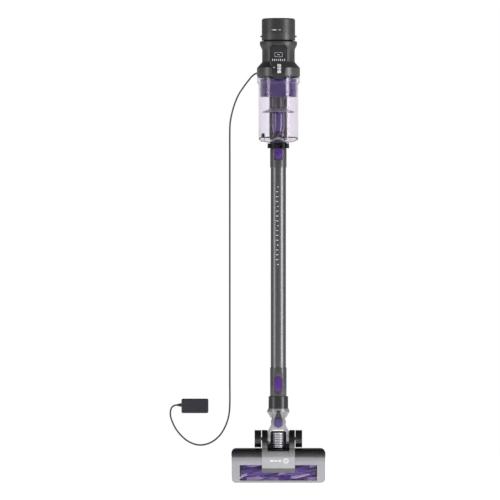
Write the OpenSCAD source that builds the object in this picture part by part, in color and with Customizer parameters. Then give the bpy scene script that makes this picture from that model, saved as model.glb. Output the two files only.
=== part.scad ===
// Cordless stick vacuum hanging upright on a wall, with its charger lead and plug-in adapter.
// Millimetres. X to the right, Y towards the wall, Z up. The origin is the centre of the wall
// face of the battery foot, which is what hangs on the wall dock.

/* [Overall] */
// Distance from the motor axis back to the wall
wall_y = 180; // [174:1:200]
// Height of the hanging point above the motor unit's shoulder
mount_rise = 26; // [18:1:34]
// Distance from the motor axis back to the wand axis
wand_y = 42; // [41.6:0.1:42.6]

/* [Motor unit] */
// Outer radius of the exhaust cap
cap_r = 40; // [38.5:0.5:42]
// Height of the exhaust cap
cap_h = 52; // [44:1:60]
// Radius over the two bayonet tabs of the exhaust cap
tab_r = 43.5; // [42:0.5:45]
// Outer radius of the flange under the exhaust cap
flange_r = 44.5; // [43:0.5:46]
// Outer radius of the motor housing neck
neck_r = 39; // [38:0.5:41]
// Outer radius of the shoulder ring
shoulder_r = 51.5; // [50.5:0.5:54]
// Height of the shoulder ring
shoulder_h = 20; // [18:1:22]
// Wall of the motor unit's mouldings
shell_t = 3; // [2.5:0.5:3.5]
// Radius of the motor can
motor_r = 28; // [24:1:30]
// Radius of the suction fan
fan_r = 32; // [26:1:34]

/* [Control panel] */
// Half width of the control panel
panel_half = 21; // [18:1:24]
// Travel of the power slide
slide_travel = 6; // [3:1:8]
// Width of the power slide
slide_w = 9; // [7:1:12]

/* [Handle and battery] */
// Half width of the handle
handle_half = 15.5; // [14:0.5:18]
// Thickness of the grip
grip_h = 34; // [30:1:36]
// Thickness of the lower arm of the handle
arm_h = 22; // [18:1:24]
// Half width of the battery foot
foot_half = 35; // [34.5:0.5:38]
// Depth of the battery foot, front to wall
foot_d = 52; // [51:1:60]
// Height of the battery foot
foot_h = 118; // [110:1:124]
// Length of the battery pack
pack_h = 130; // [124:1:134]
// Radius of one battery cell
cell_r = 9.2; // [9:0.1:9.3]
// Travel of the battery release buttons
pack_button_travel = 2; // [1:0.5:2.5]

/* [Dust cup] */
// Outer radius of the dust cup at its lower edge
cup_r = 47; // [46.5:0.5:48.5]
// Outer radius of the cup's top ring
cup_ring_r = 51; // [50:0.1:51.4]
// Height of the dust cup
cup_h = 147; // [138:1:150]
// Wall of the dust cup and its lid
cup_t = 2; // [1.6:0.1:2.2]
// Outer radius of the inlet duct behind the cup
duct_r = 22; // [20.5:0.5:22.5]
// Outer radius of the channel that the cup wraps around the duct
channel_r = 26; // [25.8:0.1:26.2]
// Radius of the cyclone's upper body
cyclone_r = 44; // [42:0.5:44]
// Radius of the cyclone cone
cone_r = 14; // [11:0.5:14]

/* [Wand] */
// Outer radius of the wand tube
tube_r = 18.3; // [17.9:0.1:18.6]
// Wall of the wand tube
tube_t = 1.5; // [1:0.1:1.6]
// Length of tube that shows between its two sleeves
tube_len = 480; // [440:1:520]
// Outer radius of the upper and lower sleeves
sleeve_r = 19.8; // [19.8:0.1:20.4]
// Length of the upper sleeve
upper_sleeve_h = 45.5; // [43:0.5:50]
// Length of the lower sleeve
lower_sleeve_h = 69; // [64:1:76]
// Outer radius of the spigots that plug into the sleeves
spigot_r = 16.9; // [16:0.1:17]
// Travel of the wand's two release buttons
button_travel = 1.8; // [1:0.1:1.8]

/* [Neck] */
// Radius of the neck collar
collar_r = 23.5; // [22:0.5:26]
// Largest radius of the flare under the collar
flare_r = 27.5; // [26:0.5:29]
// Radius of the swivel knuckle
knuckle_r = 18; // [16:0.5:18.5]
// Radius of the swivel pin
swivel_pin_r = 4; // [3:0.5:5]
// Radius of the ribbed hose
hose_r = 13.5; // [11:0.5:15]

/* [Floor head] */
// Width of the floor head
head_w = 225; // [214:1:250]
// Length of the head's housing, front to back
head_d = 83; // [82:1:84]
// Corner radius of the head
head_corner = 11; // [8:1:14]
// Wall of the head's housing
head_t = 2.5; // [2:0.5:2.5]
// Half width of the head's window
window_half = 92.5; // [84:0.5:96]
// Half width of the centre cover
cover_half = 39.5; // [38:0.5:40]
// Half width of the gap for the fork and hose
gap_half = 26.5; // [26.5:0.1:28]
// Radius of the rear wheels
wheel_r = 21; // [19.5:0.5:21]
// Width of a rear wheel
wheel_w = 16; // [12:1:18]
// Radius of the fork and wheel axles
axle_r = 4; // [3:0.5:5]
// Radius of the brush roll over its bristles
bristle_r = 22; // [20:0.5:22]
// Radius of the brush roll's core
core_r = 14; // [12:0.5:15]
// Radius of the small sole rollers
roller_r = 4; // [3.5:0.5:4]

/* [Charger] */
// Width of the adapter
adapter_w = 65; // [55:1:70]
// Height of the adapter
adapter_h = 34; // [30:1:40]
// Depth of the adapter from the wall
adapter_d = 44; // [40:1:60]
// Radius of the adapter's pins
pin_r = 2; // [1.8:0.1:2.4]
// Length of the adapter's pins
pin_len = 19; // [16:1:20]
// Distance between the two pins
pin_pitch = 18.6; // [17:0.1:20]
// Radius of the charger lead
cord_r = 2; // [1.5:0.1:2.2]

/* [Hidden] */
$fn = 96;

// Clearances
run_gap = 0.05;   // shaft in its bore
slide_gap = 0.3;  // parts that slide past each other
seat_gap = 0.1;   // mouldings that sit on each other
eps = 0.01;

// Stack of heights, from the floor head's front edge upwards
axle_z = 106;
swivel_z = axle_z + 39;
neck_z = swivel_z + 11;
flare_z = neck_z + 15;
collar_z = flare_z + 8;
lower_z = collar_z + 29;
tube_z = lower_z + lower_sleeve_h;
upper_z = tube_z + tube_len;
upper_top = upper_z + upper_sleeve_h;
spigot_z = upper_top + 0.5;
lid_z = spigot_z + 23;
cup_z = lid_z + slide_gap;
cup_top = cup_z + cup_h;
shoulder_z = cup_top + 0.7;
cone_z = shoulder_z + shoulder_h;
mount_z = cone_z + mount_rise;
neck_low = cone_z + 14;
neck_top = neck_low + 30;
flange_low = neck_top + 11;
flange_top = flange_low + 9;
cap_z = flange_top + 2;
cap_top = cap_z + cap_h;

// Motor unit
cap_t = 2.5;
cap_chamfer = 3;
groove_n = 11;
groove_step = 3.6;
groove_depth = 0.6;
groove_w = 1.2;
tab_half = 9;
tab_z = cap_z + 8;
tab_h = 3;
exhaust_slots = 16;
filter_r = cap_r - cap_t - 2.5;
shaft_r = 4;
fan_z = cone_z - 8;
fan_h = 12;
can_z = fan_z + fan_h + 2;
can_h = 48;

// Control panel: points of its front outline, outward and up
panel_top = neck_top + 8;
panel_low = cone_z - 28;
panel_face = [[-neck_r - 5, panel_top], [-neck_r - 8, neck_low + 6],
  [-shoulder_r - 4.5, cone_z - 14], [-shoulder_r - 4.5, panel_low]];
slope_rise = panel_face[1][1] - panel_face[2][1];
slope_run = panel_face[1][0] - panel_face[2][0];
slope = atan2(slope_run, slope_rise);
display_half = 10;
display_low = neck_top - 20;
display_h = 12;
display_front = -neck_r - 9;
display_back = -neck_r - 4.8;
slide_l = 22;
slide_h = 2.6;
slide_in = 0.5;
slide_x = 1.4;
slide_z = cone_z - 3.5;
slide_y = panel_face[2][0] + (slide_z - panel_face[2][1]) * slope_run / slope_rise;

// Handle and foot
foot_y = wall_y - foot_d;
foot_z = mount_z - foot_h / 2;
foot_t = 2.5;
foot_back = 8;
arm_z = mount_z - 44;
grip_z = mount_z + 8;
handle_wall = 2.5;
handle_in = 34;
spine = 7;
jack_y = (shoulder_r + foot_y) / 2 + 5;
jack_z = mount_z - 35;
jack_r = 5;
screw_r = 2;
screw_places = [[jack_y - 22, arm_z + arm_h / 2], [foot_y - 12, arm_z + arm_h / 2],
  [jack_y - 22, grip_z + grip_h / 2 + 2], [foot_y - 12, grip_z + grip_h / 2 + 3]];
slot_half = 13;
slot_h = 16;
slot_depth = 6;
slot_z = mount_z + foot_h / 2 - 33;
pack_z = foot_z - 22;
pack_half = foot_half - foot_t - slide_gap;
pack_front = foot_y + foot_t + slide_gap;
pack_back = wall_y - foot_back - slide_gap;
pack_wall = 1.5;
cell_l = 65;
cell_z = pack_z + 50;
pack_button = [5, 16, 12];

// Dust cup, lid and cyclone
channel_in = channel_r - cup_t;
cyclone_z = cup_top - 49;
cyclone_h = 43;
shroud_z = cyclone_z - 26;
skirt_r = 38.5;
cone_tip_r = 10.8;
hinge_y = -cup_r - 3;
hinge_z = lid_z - 2;
hinge_pin_r = 1.5;
knuckle = 3.2;
knuckle_half = 6;
knuckle_end = 12;
latch_angle = 50;
latch_z = lid_z + 8;
latch_out = 3.15;
latch_half = 5.5;
latch_t = 2.5;
latch_up = 6;
latch_down = 15;
latch_ear = 1.5;
latch_pin_r = 1;
duct_step_z = lid_z - 10;
duct_low_r = 19.5;
duct_wall = 2;
spigot_len = 29;

// Wand, neck and yoke
sleeve_bore = spigot_r + slide_gap;
tube_in = 15;
button_half = 9.5;
button_gap = 0.4;
lower_spigot = 52;
spigot_bore = spigot_r - 1.9;
ear_t = 4;
ear_half = 11.5;
knuckle_half_y = 14;
cheek_in = 19;
cheek_out = 25.5;
cheek_r = 13;
cheek_top = 16;
passage_r = 10;

// Floor head, measured from the axle: depth and height of its centres
sole_y = 20;
brush_c = [-1, 27];
brush_hood = 27;
motor_c = [-14, 63];
motor_hood = 20;
arm_r = 19;
window_low = 6.5;
window_top = 44;
window_back = -12;
cover_low = 26;
cover_gap_z = 77;
cover_t = 2;
mouth_half = 92;
mouth_low = 8;
mouth_top = 46;
pulley_r = 12;
pinion_r = 5;
belt_x = 98;
belt_w = 6;
belt_t = 0.8;
head_motor_r = 11;
head_motor_from = 34;
head_motor_to = 90;
pinion_shaft_r = 2;
brush_half = 91;
stub_r = 3;
boss_r = 7;
boss_w = 6;
boss_out = head_w / 2 - head_t + 0.5;
wheel_x = 41;
roller_x = 60;
roller_y = sole_y + 1 - roller_r;
roller_half = 4;
roller_z = 62;
roller_pin = 1.5;

// Charger: where the adapter sits, and the lead's route from the charge plug to it
adapter_x = -201.5;
adapter_z = 181;
relief_len = 11;
plug_end = 49;
lead_y = wall_y - adapter_d / 2;
lead_z = adapter_z + 2;
cord_step = 15.2;
cord_sides = 8;
cord_route = [[-49, 95, 985], [-54, 95.5, 984.5], [-62, 98, 979], [-70, 102, 970],
  [-78, 107, 960], [-86, 113, 949], [-94, 120, 937], [-101, 128, 923], [-107, 137, 907],
  [-112, 146, 889], [-116, 154, 868], [-117, 158, 845], [-117, 158, 780], [-117, 158, 640],
  [-117, 158, 500], [-117, 158, 360], [-117, 158, 240], [-117, 158, 185], [-119, 158, 160],
  [-124, 158, 141], [-131, 158, 125], [-141, 158, 110], [-155, 158, 97], [-171, 158, 89],
  [-188, 158, 86], [-205, 158, 89], [-221, 158, 97], [-235, 158, 109], [-247, 158, 124],
  [-255, 158, 139], [-260, 158, 153], [-261, 158, 167], [-256.5, 158, 178.5],
  [-245, 158, 183]];

// Moves the model so that the wall face of the battery foot is the origin
module place() { translate([0, -wall_y, -mount_z]) children(); }

// The same, from the wand axis
module on_wand() { place() translate([0, wand_y, 0]) children(); }

// A round bar or tube between two heights
module post(r, low, top) { translate([0, 0, low]) cylinder(r = r, h = top - low); }
module ring(r, bore, low, top) {
  difference() {
    post(r, low, top);
    post(bore, low - 1, top + 1);
  }
}

// A round bar along X or Y, from one place to another
module bar_x(r, from, to) { translate([from, 0, 0]) rotate([0, 90, 0]) cylinder(r = r, h = to - from); }
module bar_y(r, from, to) { translate([0, from, 0]) rotate([-90, 0, 0]) cylinder(r = r, h = to - from); }

// A block from its low corner to its high corner
module block(low, top) { translate(low) cube(top - low); }

// A rounded rectangle and an outline that is drawn as [y, z] and extruded along X
module rounded(size, r) {
  translate([r, 0]) square([size[0] - 2 * r, size[1]]);
  translate([0, r]) square([size[0], size[1] - 2 * r]);
  for (x = [r, size[0] - r], y = [r, size[1] - r]) translate([x, y]) circle(r);
}
module along_x(from, to) {
  translate([from, 0, 0]) rotate([90, 0, 90]) linear_extrude(to - from) children();
}

// ---------- Motor unit ----------

// Outside of the motor housing, grown by a margin
module housing_solid(grow = 0) {
  rotate_extrude() polygon([[0, shoulder_z], [shoulder_r + grow, shoulder_z],
    [shoulder_r + grow, cone_z], [neck_r + grow, neck_low], [neck_r + grow, neck_top],
    [flange_r + grow, flange_low], [flange_r + grow, flange_top], [0, flange_top]]);
}

module exhaust_cap() {
  color("dimgray") place() difference() {
    union() {
      rotate_extrude() polygon([[cap_r, cap_z], [cap_r, cap_top - cap_chamfer],
        [cap_r - cap_chamfer, cap_top], [0, cap_top], [0, cap_top - cap_chamfer],
        [cap_r - cap_t, cap_top - cap_chamfer], [cap_r - cap_t, cap_z]]);
      intersection() {
        ring(tab_r, cap_r - 1, tab_z, tab_z + tab_h);
        block([-tab_r, -tab_half, cap_z], [tab_r, tab_half, cap_top]);
      }
    }
    for (i = [0:groove_n - 1]) let (z = cap_top - 8 - i * groove_step)
      if (z > tab_z + tab_h + 1) ring(cap_r + 1, cap_r - groove_depth, z, z + groove_w);
    for (i = [0:exhaust_slots - 1]) rotate(i * 360 / exhaust_slots)
      block([14, -1.5, cap_top - 4], [cap_r - 8, 1.5, cap_top + 1]);
  }
}

module hepa_filter() {
  color("whitesmoke") place() ring(filter_r, filter_r / 2, cap_z + 4, cap_top - 8);
}

module motor_housing() {
  color("dimgray") place() rotate_extrude() polygon([[shoulder_r, cone_z], [neck_r, neck_low],
    [neck_r, neck_top], [flange_r, flange_low], [flange_r, flange_top],
    [neck_r - shell_t, flange_top], [neck_r - shell_t, neck_low - 1],
    [shoulder_r - shell_t, cone_z]]);
}

module shoulder_ring() {
  color("gray") place() ring(shoulder_r, shoulder_r - shell_t, shoulder_z, cone_z);
}

// Front outline of the panel: wide above, with a narrow rounded tongue below
module panel_outline() {
  rotate([90, 0, 0]) translate([0, 0, 20]) linear_extrude(60) {
    translate([-panel_half, cone_z + 4]) rounded([2 * panel_half, panel_top - cone_z - 4], 6);
    translate([-panel_half + 6, panel_low]) rounded([2 * panel_half - 12, 60], 12);
    polygon([[-panel_half, cone_z + 12], [panel_half, cone_z + 12],
      [panel_half - 6, panel_low + 18], [-panel_half + 6, panel_low + 18]]);
  }
}

// Its sloping front, drawn as [y, z]
module panel_front() {
  along_x(-40, 40) polygon(concat(panel_face, [[0, panel_low], [0, panel_top]]));
}

// Turns to the slope of the panel at the power slide
module on_slope() {
  translate([0, slide_y, slide_z]) rotate([-slope, 0, 0]) children();
}

// Slot that the power slide runs in
module slide_slot() {
  on_slope() translate([slide_x, 0, 0])
    block([-slide_w / 2 - slide_gap, -5, -slide_l / 2 - slide_gap],
      [slide_w / 2 + slide_gap, slide_in + slide_gap, slide_l / 2 + slide_travel + slide_gap]);
}

module control_panel() {
  color([0.22, 0.22, 0.22]) place() difference() {
    intersection() {
      panel_outline();
      panel_front();
    }
    housing_solid(seat_gap);
    post(shoulder_r + seat_gap, panel_low - 1, cone_z);
    slide_slot();
    display_block(seat_gap);
  }
}

module display_block(grow = 0) {
  block([-display_half - grow, display_front, display_low - grow],
    [display_half + grow, display_back + grow, display_low + display_h + grow]);
}

module display_lens() {
  color("black") place() intersection() {
    display_block();
    panel_front();
  }
}

module power_slide() {
  color("silver") place() on_slope() translate([slide_x, 0, 0]) {
    block([-slide_w / 2, slide_in - slide_h, -slide_l / 2], [slide_w / 2, slide_in, slide_l / 2]);
    for (z = [-6, 0, 6]) translate([0, slide_in - slide_h, z]) bar_x(0.8, -slide_w / 2 + 1, slide_w / 2 - 1);
  }
}

module control_board() {
  color("darkgreen") place()
    block([-11, -neck_r + shell_t + 2, neck_low + 4], [11, -neck_r + shell_t + 3.6, neck_top - 2]);
}

module motor_can() {
  color("silver") place() ring(motor_r, shaft_r + run_gap, can_z, can_z + can_h);
}

module fan_shaft() {
  color("lightgray") place() post(shaft_r, fan_z - 4, can_z + can_h + 4);
}

module impeller() {
  color("gainsboro") place() {
    ring(fan_r, shaft_r, fan_z, fan_z + 2);
    ring(shaft_r + 5, shaft_r, fan_z, fan_z + fan_h);
    for (i = [0:8]) rotate(i * 40)
      block([shaft_r + 4, -0.8, fan_z + 1], [fan_r - 2, 0.8, fan_z + fan_h - 2]);
  }
}

module pre_filter() {
  color("lightsteelblue") place()
    post(shoulder_r - shell_t - 1.5, shoulder_z + 1, fan_z - 4.5);
}

// ---------- Handle and battery ----------

// Loop of the handle as [y, z]: grip above, arm below, joined by a spine at the foot
module handle_outline() {
  polygon([[handle_in, grip_z], [foot_y, grip_z + 4], [foot_y, grip_z + grip_h + 4],
    [handle_in, grip_z + grip_h]]);
  polygon([[handle_in, arm_z], [foot_y, arm_z], [foot_y, arm_z + arm_h], [handle_in, arm_z + arm_h]]);
  polygon([[foot_y - spine, arm_z], [foot_y, arm_z], [foot_y, grip_z + grip_h],
    [foot_y - spine, grip_z + grip_h]]);
}

module handle_half_shell(side) {
  low = side < 0 ? -handle_half : 0.05;
  top = side < 0 ? -0.05 : handle_half;
  difference() {
    along_x(low, top) handle_outline();
    along_x(side < 0 ? low + handle_wall : low - 1, side < 0 ? top + 1 : top - handle_wall)
      offset(delta = -handle_wall) handle_outline();
    housing_solid(seat_gap);
    post(neck_r - eps, shoulder_z, flange_top);
    post(tab_r + 2 * slide_gap, flange_top, cap_top);
    translate([0, jack_y, jack_z]) bar_x(jack_r, -handle_half - 1, -handle_half + handle_wall + 1);
    for (p = screw_places) translate([0, p[0], p[1]]) bar_x(screw_r, handle_half - 6, handle_half + 1);
  }
}

module handle_left() { color("dimgray") place() handle_half_shell(-1); }
module handle_right() { color("dimgray") place() handle_half_shell(1); }

module handle_screws() {
  color("silver") place() for (p = screw_places) translate([0, p[0], p[1]])
    bar_x(screw_r, handle_half - handle_wall - 3, handle_half - 0.6);
}

module battery_foot() {
  color("dimgray") place() difference() {
    translate([-foot_half, foot_y, foot_z]) linear_extrude(foot_h) rounded([2 * foot_half, foot_d], 6);
    block([-foot_half + foot_t, foot_y + foot_t, foot_z - 1],
      [foot_half - foot_t, wall_y - foot_back, foot_z + foot_h - foot_t]);
    block([-slot_half, wall_y - slot_depth, slot_z], [slot_half, wall_y + 1, slot_z + slot_h]);
  }
}

module charge_jack() {
  color("black") place() translate([0, jack_y, jack_z]) difference() {
    union() {
      bar_x(jack_r, -handle_half, -handle_half + 11);
      bar_x(jack_r + 1.5, -handle_half - 0.8, -handle_half);
    }
    bar_x(2.8, -handle_half - 1, -handle_half + 10);
  }
}

module battery_shell() {
  color([0.2, 0.2, 0.2]) place() difference() {
    block([-pack_half, pack_front, pack_z], [pack_half, pack_back, pack_z + pack_h]);
    block([-pack_half + pack_wall, pack_front + pack_wall, pack_z + pack_wall],
      [pack_half - pack_wall, pack_back - pack_wall, pack_z + pack_h - pack_wall]);
    for (side = [-1, 1]) pack_button_block(side, slide_gap, pack_button_travel + 2);
  }
}

module battery_cells() {
  middle = (pack_front + pack_back) / 2;
  color("mediumseagreen") place() for (x = [-1:1], y = [-1, 1])
    translate([x * (2 * cell_r + 0.4), middle + y * (cell_r + 0.1), 0])
      post(cell_r, cell_z, cell_z + cell_l);
}

// One release button block, on the side given as -1 or 1
module pack_button_block(side, grow = 0, longer = 0) {
  middle = (pack_front + pack_back) / 2;
  out = foot_half - 0.5;
  translate([side * (out - pack_button[0] / 2), middle, pack_z + 11])
    cube([pack_button[0] + longer, pack_button[1] + 2 * grow, pack_button[2] + 2 * grow], center = true);
}
module battery_button_left() { color("rebeccapurple") place() pack_button_block(-1); }
module battery_button_right() { color("rebeccapurple") place() pack_button_block(1); }

// ---------- Dust cup and cyclone ----------

module in_channel() { translate([0, wand_y, 0]) children(); }

module cup_solid(cut = 0) {
  rotate_extrude() polygon([[0, cup_z], [cup_r - cut, cup_z], [cup_r + 0.5 - cut, cup_top - 18],
    [cup_ring_r - cut, cup_top - 15], [cup_ring_r - cut, cup_top], [0, cup_top]]);
}

module dust_cup() {
  color([0.85, 0.82, 0.9, 0.4]) place() difference() {
    union() {
      difference() {
        cup_solid();
        translate([0, 0, -eps]) cup_solid(cup_t);
        post(cup_ring_r - cup_t, cup_top - 1, cup_top + 1);
        in_channel() post(channel_r - eps, cup_z - 1, cup_top + 1);
      }
      intersection() {
        cup_solid();
        in_channel() ring(channel_r, channel_in, cup_z, cup_top);
      }
      for (side = [-1, 1]) cup_knuckle(side);
      latch_ears();
    }
    at_latch() bar_x(latch_pin_r, -latch_half - 2 * latch_ear, latch_half + 2 * latch_ear);
    block([-7, wand_y - channel_r - 1, cyclone_z - 22], [7, wand_y - channel_in + 3, cyclone_z - 4]);
    translate([0, hinge_y, hinge_z]) bar_x(hinge_pin_r, -knuckle_end - 1, knuckle_end + 1);
  }
}

module cup_knuckle(side) {
  low = side < 0 ? -knuckle_end : knuckle_half + 0.3;
  top = side < 0 ? -knuckle_half - 0.3 : knuckle_end;
  translate([0, hinge_y, hinge_z]) bar_x(knuckle, low, top);
  block([low, hinge_y - 1, cup_z + eps], [top, hinge_y + 4, hinge_z + 8]);
}

module cup_seal() {
  color("black") place() difference() {
    ring(cup_ring_r - cup_t - run_gap, cyclone_r + 1, cup_top - 4, cup_top - 0.5);
    in_channel() post(channel_r + run_gap, cup_top - 5, cup_top + 1);
  }
}

module lid_pins() {
  color("silver") place() {
    translate([0, hinge_y, hinge_z]) bar_x(hinge_pin_r, -knuckle_end, knuckle_end);
    at_latch() bar_x(latch_pin_r, -latch_half - latch_ear, latch_half + latch_ear);
  }
}

module cup_lid() {
  color([0.85, 0.82, 0.9, 0.4]) place() difference() {
    union() {
      difference() {
        rotate_extrude() polygon([[cup_r, lid_z], [cup_r, lid_z - 3], [cup_r - 3, lid_z - 5.5],
          [cup_r - 11, lid_z - 8.5], [cup_r - 20, lid_z - 10], [0, lid_z - 10.5],
          [0, lid_z - 10.5 + cup_t], [cup_r - 20, lid_z - 10 + cup_t],
          [cup_r - 12, lid_z - 8.5 + cup_t], [cup_r - 5, lid_z - 4], [cup_r - 5, lid_z]]);
        in_channel() post(channel_r - eps, spigot_z - 1, lid_z + 1);
      }
      intersection() {
        in_channel() ring(channel_r, channel_in, spigot_z, lid_z);
        block([-channel_r, 0, spigot_z], [channel_r, cup_r - 2, lid_z]);
      }
      translate([0, hinge_y, hinge_z]) bar_x(knuckle, -knuckle_half, knuckle_half);
      block([-knuckle_half, hinge_y, hinge_z - 2], [knuckle_half, -cup_r + 2, hinge_z + 1]);
      rotate(latch_angle) block([-5, cup_r - 1, lid_z - 4], [5, cup_r + 1.6, lid_z - 1.5]);
    }
    translate([0, hinge_y, hinge_z]) bar_x(hinge_pin_r + run_gap, -knuckle_end, knuckle_end);
  }
}

module lid_gasket() {
  color("black") place() difference() {
    ring(cup_r - cup_t - 0.4, cup_r - cup_t - 3, lid_z, lid_z + 3);
    in_channel() post(channel_r + 0.6, lid_z - 1, lid_z + 4);
  }
}

// Turns to the latch's side of the cup, at its pin
module at_latch() { rotate(latch_angle) translate([0, cup_r + latch_out, latch_z]) children(); }

module lid_latch() {
  color("rebeccapurple") place() at_latch() difference() {
    union() {
      block([-latch_half, -latch_t / 2, -latch_down], [latch_half, latch_t / 2, latch_up]);
      bar_x(latch_pin_r + 1.1, -latch_half, latch_half);
    }
    bar_x(latch_pin_r + run_gap, -latch_half - 1, latch_half + 1);
  }
}

// Ears of the cup that hold the latch's pin
module latch_ears() {
  at_latch() for (side = [-1, 1]) let (x = side * (latch_half + slide_gap + latch_ear / 2))
    block([x - latch_ear / 2, -latch_out - 1, -3], [x + latch_ear / 2, latch_t, 3]);
}

module inlet_duct() {
  color([0.25, 0.25, 0.25]) place() in_channel() difference() {
    union() {
      post(duct_r, duct_step_z, shoulder_z);
      post(duct_low_r, spigot_z, duct_step_z);
      post(spigot_r, spigot_z - spigot_len, spigot_z);
    }
    post(duct_r - duct_wall, duct_step_z + 3, shoulder_z - 3);
    post(spigot_bore, spigot_z - spigot_len - 1, duct_step_z + 4);
    block([-6, -duct_r - 1, cyclone_z - 21], [6, -duct_r + 6, cyclone_z - 5]);
    block([-button_half - button_gap, -duct_low_r - 1, spigot_z - 1],
      [button_half + button_gap, -spigot_r - run_gap, duct_step_z]);
  }
}

// What the cyclone's pieces leave free around the cup's channel
module channel_clear(low, top) { in_channel() post(channel_r + 1.5, low, top); }

module cyclone_top() {
  color("indigo") place() {
    difference() {
      union() {
        ring(cyclone_r, cyclone_r - 2.5, cyclone_z, cyclone_z + cyclone_h);
        for (z = [8:6:20]) ring(cyclone_r + 0.6, cyclone_r - 1, cyclone_z + z, cyclone_z + z + 1.6);
        post(cyclone_r - 1, cyclone_z, cyclone_z + 2.5);
      }
      channel_clear(cyclone_z - 1, cyclone_z + cyclone_h + 1);
      post(cone_r - 3, cyclone_z - 1, cyclone_z + 4);
    }
    intersection() {
      in_channel() ring(channel_r + 4, channel_r + 1.5, cyclone_z, cyclone_z + cyclone_h);
      post(cyclone_r - 0.5, cyclone_z, cyclone_z + cyclone_h);
    }
  }
}

module mesh_shroud() {
  color("black") place() ring(cone_r - 0.8, cone_r - 2.6, shroud_z, cyclone_z);
}

module shroud_skirt() {
  color("dimgray") place() difference() {
    rotate_extrude() polygon([[cone_r - 3, shroud_z], [cone_r + 2, shroud_z],
      [skirt_r, shroud_z - 9], [skirt_r, shroud_z - 10.5], [skirt_r - 1, shroud_z - 10.5],
      [cone_r + 1, shroud_z - 2], [cone_r - 3, shroud_z - 2]]);
    channel_clear(shroud_z - 12, shroud_z + 1);
  }
}

module cyclone_cone() {
  color("indigo") place() rotate_extrude() polygon([[cone_tip_r - 2, cup_z + 14],
    [cone_tip_r, cup_z + 14], [cone_r, cup_z + 26], [cone_r, shroud_z - 2],
    [cone_r - 2, shroud_z - 2], [cone_r - 2, cup_z + 27]]);
}

// ---------- Wand ----------

module upper_sleeve() {
  color([0.3, 0.3, 0.3]) on_wand() difference() {
    post(sleeve_r, upper_z, upper_top);
    post(sleeve_bore, upper_z + tube_in, upper_top + 1);
    post(tube_r, upper_z - 1, upper_z + tube_in);
    block([-button_half - button_gap, -sleeve_r - 1, upper_z + 18],
      [button_half + button_gap, -8, upper_top + 1]);
  }
}

module wand_tube() {
  color("gray") on_wand() ring(tube_r, tube_r - tube_t, tube_z - tube_in, upper_z + tube_in);
}

module lower_sleeve() {
  color([0.3, 0.3, 0.3]) on_wand() difference() {
    post(sleeve_r, lower_z, tube_z);
    post(sleeve_bore, lower_z - 1, tube_z - tube_in);
    post(tube_r, tube_z - tube_in - 1, tube_z + 1);
    lower_button_solid(button_gap, 10, button_travel + 4.1);
  }
}

// A flat button with round ends, outlined as [x, z]
module button_solid(half, low, top, front, back) {
  translate([0, back, 0]) rotate([90, 0, 0]) linear_extrude(back - front) {
    translate([0, top - half]) circle(half);
    translate([0, low + half]) circle(half);
    translate([-half, low + half]) square([2 * half, top - low - 2 * half]);
  }
}

module upper_button() {
  color("rebeccapurple") on_wand() {
    difference() {
      button_solid(button_half, upper_z + 19, upper_top + 30, -sleeve_r - 2, -sleeve_r + 0.2);
      block([-20, -40, upper_top + 10.5], [20, 0, upper_top + 40]);
    }
    translate([0, 0, upper_z + 29.5]) bar_y(5.5, -sleeve_r - 3.2, -sleeve_r - 1.5);
  }
}

module lower_button_solid(grow = 0, front = 0, back = 0) {
  button_solid(10 + grow, lower_z + 12 - grow, lower_z + 48 + grow, -sleeve_r - 0.8 - front,
    -sleeve_r + 0.9 + back);
}
module lower_button() { color("rebeccapurple") on_wand() lower_button_solid(); }

// ---------- Neck ----------

module neck_collar() {
  color([0.35, 0.35, 0.35]) on_wand() difference() {
    union() {
      post(collar_r, collar_z, lower_z - seat_gap);
      post(spigot_r, lower_z - 1, lower_z + lower_spigot);
      rotate_extrude() polygon([[0, neck_z], [19, neck_z], [flare_r, flare_z],
        [collar_r + 1, collar_z + eps], [0, collar_z + eps]]);
      for (side = [-1, 1]) neck_ear(side);
    }
    post(spigot_bore, swivel_z, lower_z + lower_spigot + 1);
    translate([0, 0, swivel_z])
      bar_y(knuckle_r + 0.5, -knuckle_half_y - slide_gap, knuckle_half_y + slide_gap);
    translate([0, 0, swivel_z]) bar_y(swivel_pin_r, -40, 40);
  }
}

// Front or back ear that holds the swivel pin
module neck_ear(side) {
  low = knuckle_half_y + slide_gap;
  mirror([0, side < 0 ? 1 : 0, 0]) {
    translate([0, 0, swivel_z]) bar_y(ear_half, low, low + ear_t);
    block([-ear_half, low, swivel_z], [ear_half, low + ear_t, flare_z]);
  }
}

module swivel_cap() {
  reach = knuckle_half_y + slide_gap + ear_t;
  color("rebeccapurple") on_wand() translate([0, 0, swivel_z]) {
    bar_y(10.5, -reach - 2, -reach);
    bar_y(swivel_pin_r, -reach, -passage_r);
    bar_y(swivel_pin_r, passage_r, reach);
  }
}

module yoke() {
  color("silver") on_wand() difference() {
    union() {
      translate([0, 0, swivel_z]) bar_y(knuckle_r, -knuckle_half_y, knuckle_half_y);
      translate([0, cheek_r, 0]) rotate([90, 0, 0]) linear_extrude(2 * cheek_r)
        polygon([[-17, swivel_z - 5], [17, swivel_z - 5], [cheek_out, axle_z + 17],
          [cheek_out, axle_z], [-cheek_out, axle_z], [-cheek_out, axle_z + 17]]);
      translate([0, 0, axle_z]) bar_x(cheek_r, -cheek_out, cheek_out);
    }
    block([-cheek_in, -20, axle_z - 20], [cheek_in, 20, axle_z + cheek_top]);
    translate([0, 20, axle_z + cheek_top]) rotate([90, 0, 0]) linear_extrude(40)
      polygon([[-cheek_in, -eps], [cheek_in, -eps], [11, 6], [-11, 6]]);
    post(passage_r, axle_z, swivel_z + knuckle_r + 1);
    translate([0, 0, swivel_z]) bar_y(swivel_pin_r + run_gap, -40, 40);
    translate([0, 0, axle_z]) bar_x(axle_r + run_gap, -cheek_out - 1, cheek_out + 1);
  }
}

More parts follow.
